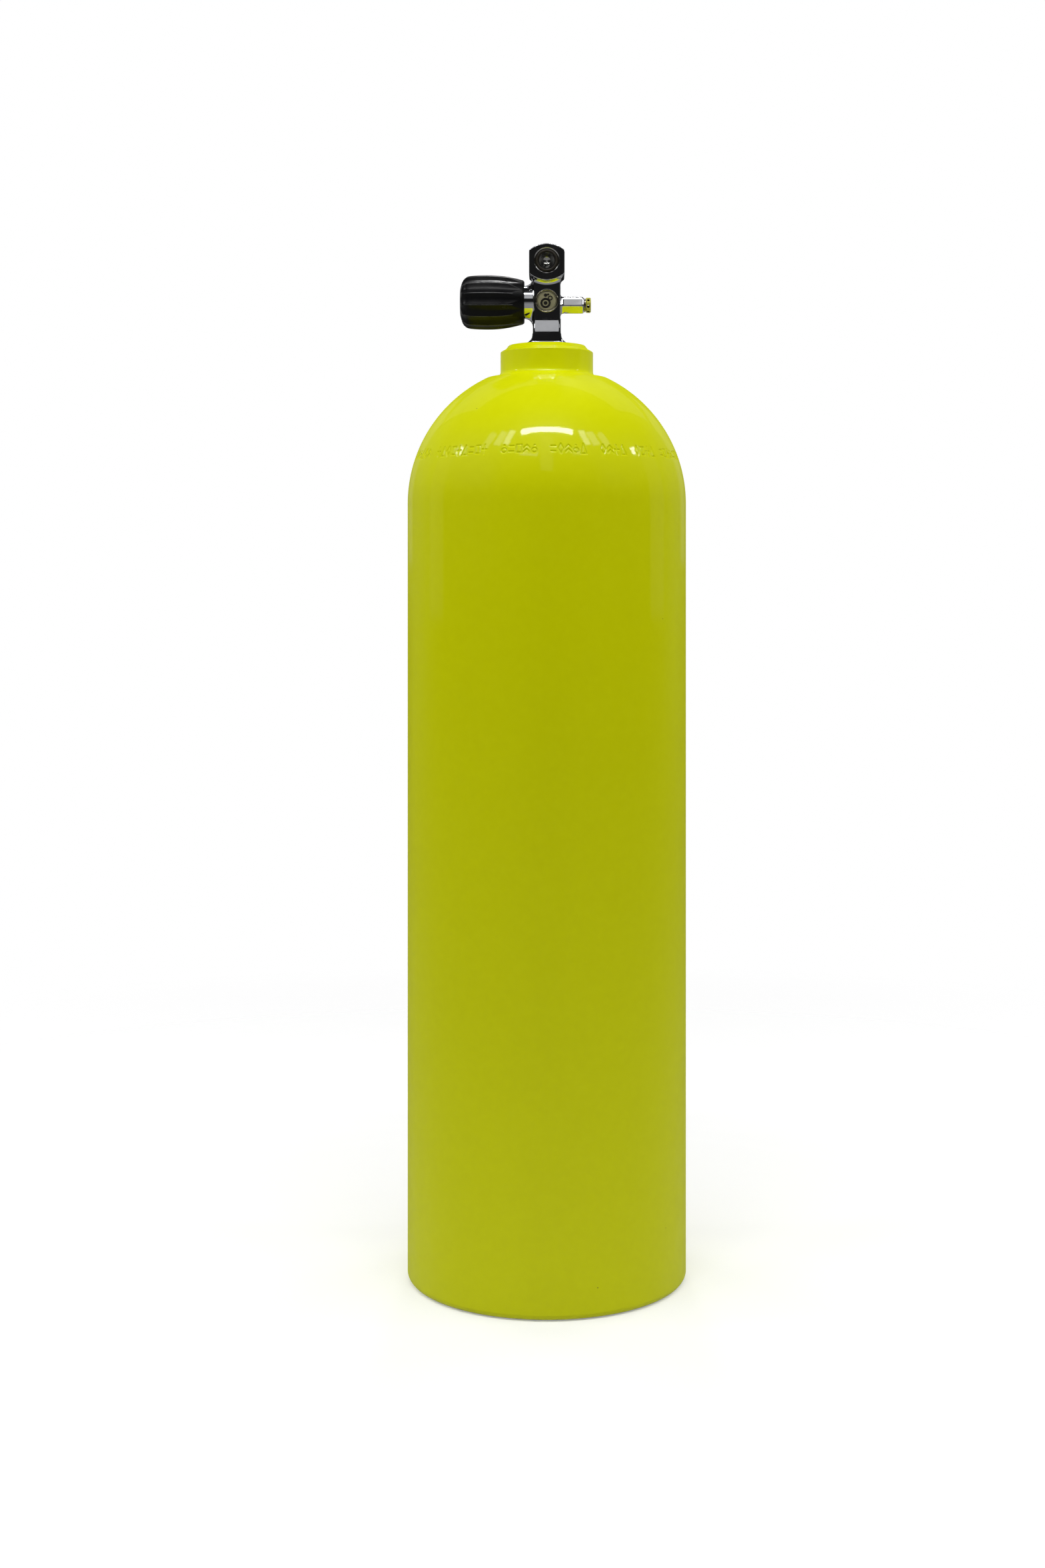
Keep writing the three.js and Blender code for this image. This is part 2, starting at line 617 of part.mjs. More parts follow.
/** Hollow plug with a hexagonal head and cross-drilled vents. */
function burstPlug() {
  const spigot = turnedX(disc(BURST_SPIGOT.radius, BURST_PLUG_START, BURST_HEX_START + 0.5), SMALL);
  const corner = BURST_HEX.across / 2 / Math.cos(Math.PI / 6);
  const hex = turnedX([
    [0, BURST_HEX_START],
    [corner, BURST_HEX_START],
    [corner, BURST_HEX.end - BURST_HEX.edge],
    [corner - BURST_HEX.edge, BURST_HEX.end],
    [0, BURST_HEX.end],
  ], 6);
  const bore = turnedX(disc(BURST_SPIGOT.bore, BURST_PLUG_START - 1, BURST_SPIGOT.boreEnd), DRILL);
  const vents = Array.from({ length: BURST_HEX.vents }, (_, i) => {
    const angle = ((i + 0.5) / BURST_HEX.vents) * Math.PI;
    const [y, z] = [BURST_HEX.across * Math.cos(angle), BURST_HEX.across * Math.sin(angle)];
    return drill([BURST_HEX.ventX, -y, -z], [BURST_HEX.ventX, y, z], BURST_HEX.ventRadius);
  });
  return cut(join(spigot, hex), bore, ...vents);
}

// ---- Assembly ----------------------------------------------------------------------------

/** Adds a named piece to a group. */
function place(parent, name, body, material) {
  const mesh = new THREE.Mesh(geometryOf(body), material);
  mesh.name = name;
  parent.add(mesh);
  return mesh;
}

/** A group at a height above its parent. */
function groupAt(parent, height) {
  const child = new THREE.Group();
  child.position.z = height;
  parent.add(child);
  return child;
}

const group = new THREE.Group();
place(group, 'cylinder', cylinderShell(), paint);

const valve = groupAt(group, NECK_TOP);
place(valve, 'valve_body', valveBody(), chrome);
place(valve, 'dip_tube', dipTube(), hardPlastic);
const neckRing = turnedZ(ringSection(NECK_SEAL.ring, 0, NECK_SEAL.section), SMALL);
place(valve, 'neck_oring', neckRing, blackRubber).position.z = -NECK_SEAL.section - 0.1;

const outlet = groupAt(valve, PORT_HEIGHT);
const yokeRing = turnedY(ringSection(YOKE_RING.radius, 0, YOKE_RING.section), ROUND);
place(outlet, 'yoke_oring', yokeRing, blackRubber).position.y = YOKE_RING.depth - HEAD.halfDepth;
place(groupAt(valve, BADGE.height), 'badge', badgePlate(), enamel);

const stemLine = groupAt(valve, STEM_HEIGHT);
const gasketFront = BONNET_BOSS.end - GAP;
const gasketProfile = ring(
  BONNET_GASKET.inner, BONNET_GASKET.outer, gasketFront - BONNET_GASKET.thickness, gasketFront,
);
place(stemLine, 'bonnet_nut', bonnetNut(), brass);
place(stemLine, 'bonnet_gasket', turnedX(gasketProfile, ROUND), copper);
place(stemLine, 'seat_plug', seatPlug(), brass);
const seatProfile = disc(SEAT_DISC.radius, SEAT_DISC.rear, SEAT_DISC.front);
place(stemLine, 'seat_disc', turnedX(seatProfile, SMALL), nylon);
place(stemLine, 'stem', stemSpindle(), brass);
const thrustFront = STEM.collarRear - GAP;
const thrustProfile = ring(THRUST.inner, THRUST.outer, thrustFront - THRUST.thickness, thrustFront);
place(stemLine, 'thrust_washer', turnedX(thrustProfile, SMALL), nylon);
const stemRing = turnedX(ringSection(STEM_RING.radius, 0, STEM_RING.section), SMALL);
const stemRingX = (STEM_GROOVE.front + STEM_GROOVE.rear) / 2;
place(stemLine, 'stem_oring', stemRing, blackRubber).position.x = stemRingX;

place(stemLine, 'handwheel_core', handwheelCore(), hardPlastic);
place(stemLine, 'handwheel_grip', handwheelGrip(), blackRubber);
const cupFront = HUB.webRear - GAP;
const cupProfile = ring(CUP.inner, CUP.outer, cupFront - CUP.thickness, cupFront);
place(stemLine, 'spring_cup', turnedX(cupProfile, SMALL), steel);
place(stemLine, 'handwheel_spring', handwheelSpring(), steel);
place(stemLine, 'handwheel_nut', handwheelNut(), brass);

const burstLine = groupAt(valve, BURST_HEIGHT);
const { inner, outer, thickness } = BURST_GASKET;
const burstSeal = ring(inner, outer, BURST_GASKET_START, BURST_GASKET_START + thickness);
const burstFoil = disc(BURST_DISC.radius, BURST_DISC_START, BURST_DISC_START + BURST_DISC.thickness);
const washerEnd = BURST_WASHER_START + BURST_WASHER.thickness;
const burstWasher = ring(BURST_WASHER.inner, BURST_WASHER.outer, BURST_WASHER_START, washerEnd);
place(burstLine, 'burst_gasket', turnedX(burstSeal, SMALL), copper);
place(burstLine, 'burst_disc', turnedX(burstFoil, SMALL), copper);
place(burstLine, 'burst_washer', turnedX(burstWasher, SMALL), steel);
place(burstLine, 'burst_plug', burstPlug(), brass).rotation.x = THREE.MathUtils.degToRad(BURST_HEX.turn);

export default group;
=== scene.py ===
"""Looks of the scuba tank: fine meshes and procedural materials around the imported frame.

Geometry is worked out in millimetres and made in metres, in the frame's axes: +Z up, the outlet
looks along -Y, the handwheel lies along -X and the burst disc plug along +X.
"""
import json
import math

import bmesh
import bpy
import numpy as np
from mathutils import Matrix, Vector


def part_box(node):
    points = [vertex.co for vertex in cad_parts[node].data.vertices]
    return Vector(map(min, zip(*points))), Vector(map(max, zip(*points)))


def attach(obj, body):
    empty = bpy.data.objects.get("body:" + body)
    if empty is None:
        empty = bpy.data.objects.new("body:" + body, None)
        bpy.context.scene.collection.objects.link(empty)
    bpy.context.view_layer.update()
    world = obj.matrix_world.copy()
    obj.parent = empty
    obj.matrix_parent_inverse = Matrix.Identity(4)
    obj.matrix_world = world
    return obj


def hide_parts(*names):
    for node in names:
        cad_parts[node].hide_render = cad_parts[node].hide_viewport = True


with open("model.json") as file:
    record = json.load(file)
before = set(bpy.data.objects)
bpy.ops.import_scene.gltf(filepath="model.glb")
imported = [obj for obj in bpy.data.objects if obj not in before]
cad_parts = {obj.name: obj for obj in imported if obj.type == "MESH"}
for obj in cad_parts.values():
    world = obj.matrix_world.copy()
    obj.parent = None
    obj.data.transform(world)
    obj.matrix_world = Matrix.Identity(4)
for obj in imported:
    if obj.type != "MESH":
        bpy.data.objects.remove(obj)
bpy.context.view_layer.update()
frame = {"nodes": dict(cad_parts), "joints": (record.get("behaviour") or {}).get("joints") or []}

MM = 0.001
JOINTS = {joint["name"]: joint for joint in frame["joints"]}
TANK_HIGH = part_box("cylinder")[1]
TANK_RADIUS = TANK_HIGH.x / MM
NECK_TOP = TANK_HIGH.z / MM
STEM_Z = JOINTS["handwheel_turn"]["pos_m"][2] / MM
BURST_Z = sum(corner.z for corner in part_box("burst_disc")) / 2 / MM
PORT_Z = sum(corner.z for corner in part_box("yoke_oring")) / 2 / MM
BADGE_Z = sum(corner.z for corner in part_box("badge")) / 2 / MM
HEAD_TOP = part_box("valve_body")[1].z / MM
STEM_LINE, BURST_LINE, PORT_LINE, BADGE_LINE = ((0, 0, z) for z in (STEM_Z, BURST_Z, PORT_Z, BADGE_Z))


# ---- Profiles and meshes -----------------------------------------------------------------


def arc(centre_r, centre_h, radius, start, end, steps):
    """Points on an arc, angles in degrees from the outward direction."""
    angles = np.radians(np.linspace(start, end, steps + 1))
    return [(centre_r + radius * math.cos(a), centre_h + radius * math.sin(a)) for a in angles]


def rounded(points, closed=False, steps=4):
    """A profile whose corners may carry a third number, the radius that rounds them."""
    out = []
    count = len(points)
    for i, point in enumerate(points):
        here = np.array(point[:2], float)
        radius = point[2] if len(point) > 2 else 0
        if not radius or (not closed and i in (0, count - 1)):
            out.append(tuple(here))
            continue
        before = np.array(points[i - 1][:2], float) - here
        after = np.array(points[(i + 1) % count][:2], float) - here
        to_before, to_after = before / np.linalg.norm(before), after / np.linalg.norm(after)
        half = math.acos(np.clip(to_before @ to_after, -1, 1)) / 2
        reach = radius / math.tan(half)
        reach = min(reach, 0.49 * np.linalg.norm(before), 0.49 * np.linalg.norm(after))
        radius = reach * math.tan(half)
        middle = to_before + to_after
        centre = here + middle / np.linalg.norm(middle) * radius / math.sin(half)
        a, b = here + to_before * reach - centre, here + to_after * reach - centre
        for t in np.linspace(0, 1, steps + 1):
            direction = a * (1 - t) + b * t
            out.append(tuple(centre + direction / np.linalg.norm(direction) * radius))
    return out


def spline(points, count):
    """Uniform Catmull-Rom curve through points."""
    points = np.array([points[0], *points, points[-1]], float)
    out = []
    for t in np.linspace(0, len(points) - 3, count):
        i = min(int(t), len(points) - 4)
        u = t - i
        a, b, c, d = points[i:i + 4]
        va, vb = (c - a) / 2, (d - b) / 2
        cubic = (2 * b - 2 * c + va + vb) * u**3 + (-3 * b + 3 * c - 2 * va - vb) * u**2
        out.append(tuple(cubic + va * u + b))
    return out


def smoothstep(value, low, high):
    t = np.clip((value - low) / (high - low), 0, 1)
    return t * t * (3 - 2 * t)


def ring_faces(a, b):
    """Quads between two rows of vertex numbers with the same length."""
    n = len(a)
    return [(a[i], a[(i + 1) % n], b[(i + 1) % n], b[i]) for i in range(n)]


def doubling_faces(few, many, flip):
    """Triangles between a row and one with twice as many vertices."""
    faces = []
    n = len(few)
    for i in range(n):
        a, b = few[i], few[(i + 1) % n]
        c, d, e = many[2 * i], many[2 * i + 1], many[(2 * i + 2) % (2 * n)]
        faces += [(a, d, c), (a, b, d), (b, e, d)]
    return [face[::-1] for face in faces] if flip else faces


def lathe(profile, segments, axis="Z", shift=(0, 0, 0)):
    """Surface of revolution of [radius, height] points, closed at the axis or on itself.

    segments is one number, or one for each point where rows differ by a factor of two.
    """
    points = list(profile)
    area = sum(p[0] * q[1] - q[0] * p[1] for p, q in zip(points, points[1:] + points[:1]))
    counts = [segments] * len(points) if isinstance(segments, int) else list(segments)
    if area < 0:
        points.reverse()
        counts.reverse()
    rows, verts = [], []
    for (r, h), n in zip(points, counts):
        start = len(verts)
        n = n if r > 1e-9 else 1
        angles = 2 * np.pi * np.arange(n) / n
        verts += [(r * math.cos(a), r * math.sin(a), h) for a in angles]
        rows.append(list(range(start, start + n)))
    pairs = list(zip(rows, rows[1:]))
    if len(rows[0]) > 1 and len(rows[-1]) > 1:
        pairs.append((rows[-1], rows[0]))
    faces = []
    for a, b in pairs:
        if len(a) == 1:
            faces += [(a[0], b[(i + 1) % len(b)], b[i]) for i in range(len(b))]
        elif len(b) == 1:
            faces += [(a[i], a[(i + 1) % len(a)], b[0]) for i in range(len(a))]
        elif len(a) == len(b):
            faces += ring_faces(a, b)
        elif len(b) > len(a):
            faces += doubling_faces(a, b, flip=False)
        else:
            faces += doubling_faces(b, a, flip=True)
    order = {"X": (2, 0, 1), "Y": (1, 2, 0), "Z": (0, 1, 2)}[axis]
    return np.array(verts)[:, order] + np.array(shift), faces


def make_object(name, verts, faces, materials=(), sharp=40):
    """A mesh object from points in mm, smooth except where faces meet at over sharp degrees."""
    mesh = bpy.data.meshes.new(name)
    mesh.from_pydata((np.asarray(verts) * MM).tolist(), [], faces)
    mesh.validate()
    for material in materials:
        mesh.materials.append(material)
    piece = bpy.data.objects.new(name, mesh)
    bpy.context.scene.collection.objects.link(piece)
    soften(piece, sharp)
    return piece


def soften(piece, sharp):
    """Smooth shading with sharp edges over an angle in degrees."""
    piece.data.polygons.foreach_set("use_smooth", [True] * len(piece.data.polygons))
    piece.data.set_sharp_from_angle(angle=math.radians(sharp))


def combine(piece, tools, operation):
    """Applies booleans with other objects, and removes those objects."""
    for tool in tools:
        modifier = piece.modifiers.new("combine", "BOOLEAN")
        modifier.operation = operation
        modifier.solver = "MANIFOLD"
        modifier.object = tool
    bpy.context.view_layer.update()
    graph = bpy.context.evaluated_depsgraph_get()
    mesh = bpy.data.meshes.new_from_object(piece.evaluated_get(graph), depsgraph=graph)
    piece.modifiers.clear()
    piece.data = mesh
    for tool in tools:
        bpy.data.objects.remove(tool)
    return piece


def dress(piece, material, sharp):
    """One material over a whole piece after booleans, and its shading."""
    piece.data.materials.clear()
    piece.data.materials.append(material)
    piece.data.polygons.foreach_set("material_index", [0] * len(piece.data.polygons))
    soften(piece, sharp)
    return piece


def turned(name, profile, segments, axis, shift, materials=(), sharp=40):
    return make_object(name, *lathe(profile, segments, axis, shift), materials, sharp)


def disc_profile(radius, low, high):
    return [(0, low), (radius, low), (radius, high), (0, high)]


def drill(start, end, radius):
    """A cutting cylinder between two points."""
    start, end = np.array(start, float), np.array(end, float)
    along = end - start
    length = np.linalg.norm(along)
    verts, faces = lathe(disc_profile(radius, 0, length), 48)
    w = along / length
    helper = np.array([1.0, 0, 0]) if abs(w[0]) < 0.9 else np.array([0, 1.0, 0])
    u = np.cross(helper, w)
    u /= np.linalg.norm(u)
    v = np.cross(w, u)
    return make_object("drill", start + verts @ np.array([u, v, w]), faces)


def block(low, high):
    """A box between two corners."""
    (x0, y0, z0), (x1, y1, z1) = low, high
    verts = [(x, y, z) for z in (z0, z1) for y in (y0, y1) for x in (x0, x1)]
    faces = [(0, 2, 3, 1), (4, 5, 7, 6), (0, 1, 5, 4), (2, 6, 7, 3), (0, 4, 6, 2), (1, 3, 7, 5)]
    return make_object("block", verts, faces)


def hexagon(name, across, low, high, shift, turn=0.0):
    """A hexagonal prism along X, its corners turned off by a cone at both ends, as on a nut."""
    corner = across / 2 / math.cos(math.pi / 6)
    verts, faces = lathe(disc_profile(corner, low, high), 6, "X")
    c, s = math.cos(turn), math.sin(turn)
    spin = np.array([[1, 0, 0], [0, c, s], [0, -s, c]])
    piece = make_object(name, verts @ spin + np.array(shift), faces)
    flat = across / 2 * 0.98
    rise = (corner - flat) * math.tan(math.radians(30)) + 0.01
    side = corner + 0.1
    cone = [(0, low), (flat, low), (side, low + rise), (side, high - rise), (flat, high), (0, high)]
    return combine(piece, [turned("cone", cone, 96, "X", shift)], "INTERSECT")


# ---- Materials ---------------------------------------------------------------------------


class Nodes:
    """A node tree under construction, with short names for common nodes."""

    def __init__(self, tree):
        self.nodes = tree.nodes
        self.links = tree.links

    def add(self, kind):
        return self.nodes.new("ShaderNode" + kind)

    def span(self, value, low, high, to_low=0.0, to_high=1.0):
        """Maps a value from one range to another, clamped."""
        node = self.add("MapRange")
        for socket, number in zip(("From Min", "From Max", "To Min", "To Max"), (low, high, to_low, to_high)):
            node.inputs[socket].default_value = number
        self.links.new(value, node.inputs["Value"])
        return node.outputs["Result"]

    def times(self, a, b):
        node = self.add("Math")
        node.operation = "MULTIPLY"
        self.links.new(a, node.inputs[0])
        self.links.new(b, node.inputs[1])
        return node.outputs["Value"]


class Shader(Nodes):
    """A Principled material under construction."""

    def __init__(self, name, base, roughness, metallic=0.0, **sockets):
        self.material = bpy.data.materials.new(name)
        self.material.use_nodes = True
        super().__init__(self.material.node_tree)
        self.surface = self.nodes["Principled BSDF"]
        self.surface.inputs["Base Color"].default_value = (*base, 1)
        self.surface.inputs["Roughness"].default_value = roughness
        self.surface.inputs["Metallic"].default_value = metallic
        for socket, value in sockets.items():
            self.surface.inputs[socket.replace("_", " ")].default_value = value
        self.material.diffuse_color = (*base, 1)
        self.where = self.add("TexCoord").outputs["Object"]
        self.height = None

    def noise(self, scale, detail=3.0, rough=0.55, stretch=None):
        """Noise factor, scale in features per metre; stretch squeezes the axes."""
        node = self.add("TexNoise")
        node.inputs["Scale"].default_value = scale
        node.inputs["Detail"].default_value = detail
        node.inputs["Roughness"].default_value = rough
        if stretch:
            mapping = self.add("Mapping")
            mapping.inputs["Scale"].default_value = stretch
            self.links.new(self.where, mapping.inputs["Vector"])
            self.links.new(mapping.outputs["Vector"], node.inputs["Vector"])
        else:
            self.links.new(self.where, node.inputs["Vector"])
        return node.outputs["Fac"]

    def spots(self, scale):
        """Distance to scattered points."""
        node = self.add("TexVoronoi")
        node.inputs["Scale"].default_value = scale
        self.links.new(self.where, node.inputs["Vector"])
        return node.outputs["Distance"]

    def tint(self, factor, other):
        """Mixes another colour over the base by a factor."""
        socket = self.surface.inputs["Base Color"]
        node = self.add("Mix")
        node.data_type = "RGBA"
        self.links.new(factor, node.inputs["Factor"])
        if socket.is_linked:
            self.links.new(socket.links[0].from_socket, node.inputs[6])
        else:
            node.inputs[6].default_value = socket.default_value[:]
        node.inputs[7].default_value = (*other, 1)
        self.links.new(node.outputs[2], socket)

    def rough(self, factor, low, high, to_low, to_high):
        """Roughness that follows a factor."""
        result = self.span(factor, low, high, to_low, to_high)
        self.links.new(result, self.surface.inputs["Roughness"])

    def fade_gloss(self, low, high, to_low, to_high):
        """Clear coat that thins where the surface turns away from the viewer."""
        node = self.add("LayerWeight")
        node.inputs["Blend"].default_value = 0.5
        result = self.span(node.outputs["Facing"], low, high, to_low, to_high)
        self.links.new(result, self.surface.inputs["Coat Weight"])

    def glow_for_camera(self, strength):
        """White glow that the camera sees but that lights nothing."""
        seen = self.add("LightPath").outputs["Is Camera Ray"]
        self.surface.inputs["Emission Color"].default_value = (1, 1, 1, 1)
        self.links.new(self.span(seen, 0, 1, 0, strength), self.surface.inputs["Emission Strength"])

    def fade_out(self, near, far):
        """Turns the surface clear between two distances from the origin, in metres."""
        length = self.add("VectorMath")
        length.operation = "LENGTH"
        self.links.new(self.where, length.inputs[0])
        mix = self.add("MixShader")
        self.links.new(self.span(length.outputs["Value"], near, far), mix.inputs["Fac"])
        self.links.new(self.surface.outputs["BSDF"], mix.inputs[1])
        clear = self.add("BsdfTransparent")
        self.links.new(clear.outputs["BSDF"], mix.inputs[2])
        self.links.new(mix.outputs["Shader"], self.nodes["Material Output"].inputs["Surface"])

    def bump(self, height, distance, strength=1.0, coat=False):
        """Adds a bump of a height in metres on top of the earlier ones."""
        node = self.add("Bump")
        node.inputs["Distance"].default_value = distance
        node.inputs["Strength"].default_value = strength
        self.links.new(height, node.inputs["Height"])
        if self.height:
            self.links.new(self.height, node.inputs["Normal"])
        self.height = node.outputs["Normal"]
        self.links.new(self.height, self.surface.inputs["Normal"])
        if coat:
            self.links.new(self.height, self.surface.inputs["Coat Normal"])


def yellow_paint():
    """Glossy yellow-green enamel with faint orange peel, mottling and small specks."""
    shade = Shader(
        "tank_enamel", (0.66, 0.70, 0.0), 0.42,
        Coat_Weight=0.5, Coat_Roughness=0.06, Coat_IOR=1.5, Specular_IOR_Level=0.05,
    )
    shade.tint(shade.span(shade.noise(9, 4), 0.35, 0.7, 0, 0.35), (0.63, 0.655, 0.0))
    shade.tint(shade.span(shade.noise(160, 2), 0.4, 0.65, 0, 0.25), (0.69, 0.73, 0.003))
    speck = shade.span(shade.spots(38), 0.012, 0.022, 1, 0)
    shade.tint(shade.times(speck, shade.span(shade.noise(21, 1), 0.56, 0.6)), (0.20, 0.21, 0.01))
    shade.rough(shade.noise(60, 3), 0.3, 0.7, 0.36, 0.48)
    shade.bump(shade.noise(420, 2, 0.5), 0.00003, 0.6, coat=True)
    shade.fade_gloss(0.5, 0.95, 0.5, 0.06)
    return shade.material


def chrome_plate():
    """Polished chrome with a faint polishing grain, handling smears and pits."""
    shade = Shader("polished_chrome", (0.70, 0.71, 0.735), 0.05, 1.0)
    shade.tint(shade.span(shade.noise(70, 4), 0.45, 0.7, 0, 0.5), (0.60, 0.61, 0.64))
    pit = shade.span(shade.spots(260), 0.05, 0.09, 1, 0)
    shade.tint(shade.times(pit, shade.span(shade.noise(90, 1), 0.55, 0.6)), (0.18, 0.17, 0.16))
    shade.rough(shade.noise(110, 5, 0.65), 0.35, 0.75, 0.035, 0.15)
    shade.bump(shade.noise(260, 2), 0.00002, 0.5)
    return shade.material


def satin_plate():
    """Dull machined plating inside the outlet."""
    shade = Shader("satin_chrome", (0.46, 0.46, 0.45), 0.16, 1.0)
    shade.tint(shade.span(shade.noise(300, 4), 0.4, 0.7, 0, 0.7), (0.36, 0.36, 0.34))
    shade.rough(shade.noise(500, 3), 0.3, 0.7, 0.12, 0.24)
    shade.bump(shade.noise(900, 2), 0.00002, 0.5)
    return shade.material


def satin_rubber():
    """Black moulded rubber: fine pebble, dusty patches and a low sheen."""
    shade = Shader("grip_rubber", (0.0035, 0.0035, 0.004), 0.3, Specular_IOR_Level=0.16)
    shade.tint(shade.span(shade.noise(55, 5, 0.7), 0.45, 0.75, 0, 0.6), (0.007, 0.007, 0.0075))
    shade.tint(shade.span(shade.spots(700), 0.06, 0.14, 0.3, 0), (0.02, 0.02, 0.021))
    shade.rough(shade.noise(130, 4, 0.6), 0.3, 0.7, 0.26, 0.42)
    shade.bump(shade.noise(1800, 2), 0.00003, 0.4)
    return shade.material


def ridge_highlight_and_wear_rubber():
    """The paler line along each ridge of the grip: a painted highlight standing in for the crest's sheen,
    together with rubbed wear.
    """
    shade = Shader("ridge_highlight_and_wear_rubber", (0.055, 0.056, 0.058), 0.28, Specular_IOR_Level=0.3)
    shade.tint(shade.span(shade.noise(120, 4, 0.7), 0.42, 0.62), (0.012, 0.012, 0.013))
    shade.rough(shade.noise(130, 4, 0.6), 0.3, 0.7, 0.22, 0.4)
    return shade.material


def seal_rubber():
    """Dark brown-black nitrile of the seals, with a greasy film."""
    shade = Shader("seal_rubber", (0.014, 0.011, 0.007), 0.5, Specular_IOR_Level=0.3)
    shade.tint(shade.span(shade.noise(200, 3), 0.4, 0.7, 0, 0.7), (0.022, 0.018, 0.011))
    shade.rough(shade.noise(300, 3), 0.3, 0.7, 0.42, 0.6)
    return shade.material


def black_plastic():
    """Hard moulded plastic with a fine grain."""
    shade = Shader("hub_plastic", (0.012, 0.012, 0.013), 0.45)
    shade.tint(shade.span(shade.noise(90, 4), 0.4, 0.7, 0, 0.6), (0.022, 0.022, 0.023))
    shade.rough(shade.noise(160, 3), 0.3, 0.7, 0.38, 0.55)
    shade.bump(shade.noise(1500, 2), 0.00003, 0.4)
    return shade.material


def metal(name, base, dark, roughness, tarnish=60, metallic=1.0):
    """Bare metal with turning marks and tarnish."""
    shade = Shader(name, base, roughness, metallic)
    shade.tint(shade.span(shade.noise(tarnish, 5, 0.65), 0.4, 0.72, 0, 0.85), dark)
    grain = shade.noise(300, 3, 0.6, stretch=(6, 1, 1))
    shade.rough(grain, 0.3, 0.7, roughness * 0.75, roughness * 1.4)
    shade.bump(grain, 0.00002, 0.4)
    return shade.material


def nylon():
    shade = Shader("seat_nylon", (0.72, 0.69, 0.58), 0.5)
    shade.tint(shade.span(shade.noise(120, 3), 0.4, 0.7, 0, 0.6), (0.66, 0.61, 0.48))
    shade.bump(shade.noise(900, 2), 0.00002, 0.4)
    return shade.material


def enamel(name, base, other, roughness):
    """Satin enamel of the badge, slightly stained."""
    shade = Shader(name, base, roughness, 0.25, Coat_Weight=0.6, Coat_Roughness=0.12)
    shade.tint(shade.span(shade.noise(260, 4), 0.4, 0.7, 0, 0.7), other)
    shade.rough(shade.noise(400, 3), 0.3, 0.7, roughness * 0.8, roughness * 1.2)
    return shade.material


PAINT = yellow_paint()
CHROME = chrome_plate()
SATIN = satin_plate()
RUBBER = satin_rubber()
RIDGE_HIGHLIGHT_AND_WEAR = ridge_highlight_and_wear_rubber()
SEAL = seal_rubber()
PLASTIC = black_plastic()
BRASS = metal("valve_brass", (0.70, 0.58, 0.16), (0.42, 0.33, 0.10), 0.24)
# Olive-yellow, mostly diffuse brass: the brass colour mixed with a painted reflection of the yellow tank.
PLUG_BRASS_AND_TANK_REFLECTION = metal("plug_brass_and_painted_reflection", (0.60, 0.58, 0.07), (0.40, 0.36, 0.05), 0.35, metallic=0.3)
# Near-black brass for the inside of the burst plug's bore and vents: painted shade in the hollows.
HOLLOW_SHADE_BRASS = metal("painted_shade_brass", (0.05, 0.036, 0.012), (0.02, 0.015, 0.008), 0.5)
COPPER = metal("washer_copper", (0.26, 0.15, 0.08), (0.12, 0.09, 0.05), 0.4)
STEEL = metal("spring_steel", (0.42, 0.40, 0.38), (0.20, 0.17, 0.14), 0.32)
NYLON = nylon()
BADGE_FIELD = enamel("badge_field", (0.30, 0.28, 0.17), (0.21, 0.195, 0.115), 0.36)
BADGE_RIM = metal("badge_rim", (0.44, 0.41, 0.31), (0.25, 0.22, 0.15), 0.2, tarnish=200)
BADGE_DARK = enamel("badge_dark", (0.012, 0.011, 0.010), (0.03, 0.028, 0.02), 0.3)


# ---- Cylinder ----------------------------------------------------------------------------

DOME_CENTRE = 563.0
WALL = 15.0  # thickness of dome and wall
INSIDE_FLOOR = 22.0
INSIDE_ROUND = 22.0  # between inside floor and wall
FOOT_ROUND = 5.0
FOOT_INSIDE = 70.0  # radius where the foot ring starts
NECK_RADIUS = 33.8
NECK_FOOT = 655.2
NECK_DOME_R = 44.0  # where the dome ends in the neck's fillet
BORE_RADIUS = 13.6
SEAL_SEAT_R = 16.1
SEAL_SEAT = 675.2
STAMP_HEIGHT = 597.0
STAMP_PITCH = 3.2  # degrees round the shoulder
STAMP_SIZE = (1.75, 3.6)  # half width and half height of a mark
STAMP_STROKE = 0.46  # half width of a stroke
STAMP_DEPTH = 0.5
# start angle from the front and number of marks of each group, going round to the right
STAMP_GROUPS = [
    (-78, 6), (-54, 9), (-19.5, 5), (1, 5), (22.5, 4), (39.6, 4), (56, 8),
    (88, 5), (110, 4), (129, 7), (158, 5), (180, 6), (206, 4), (226, 8), (258, 5),
]


def stamp_distance(u, v, kind):
    """Distance in mm from a mark's strokes: plain geometric signs, not letters or digits."""
    w, h = STAMP_SIZE
    if kind == 0:  # diamond outline
        return np.abs(np.abs(u) * h + np.abs(v) * w - w * h) / math.hypot(w, h)
    if kind == 1:  # two short level bars
        return np.hypot(np.maximum(np.abs(u) - w * 0.9, 0), np.abs(v) - h * 0.55)
    if kind == 2:  # triangle outline
        side = (np.abs(u) * 2 * h + (v - h) * w) / math.hypot(2 * h, w)
        return np.abs(np.maximum(side, -v - h))
    if kind == 3:  # dot over a ring
        return np.minimum(np.hypot(u, v - h * 0.7) - 0.2, np.abs(np.hypot(u, v + h * 0.35) - w * 0.95))
    if kind == 4:  # upright cross
        level = np.hypot(np.maximum(np.abs(u) - w, 0), v)
        return np.minimum(level, np.hypot(u, np.maximum(np.abs(v) - h, 0)))
    if kind == 5:  # chevrons
        return np.minimum(np.abs(np.abs(u) + (v - h * 0.75)), np.abs(np.abs(u) + (v + h * 0.1))) * 0.7
    return np.abs(np.maximum(np.abs(u) - w, np.abs(v) - h * 0.8))  # square outline


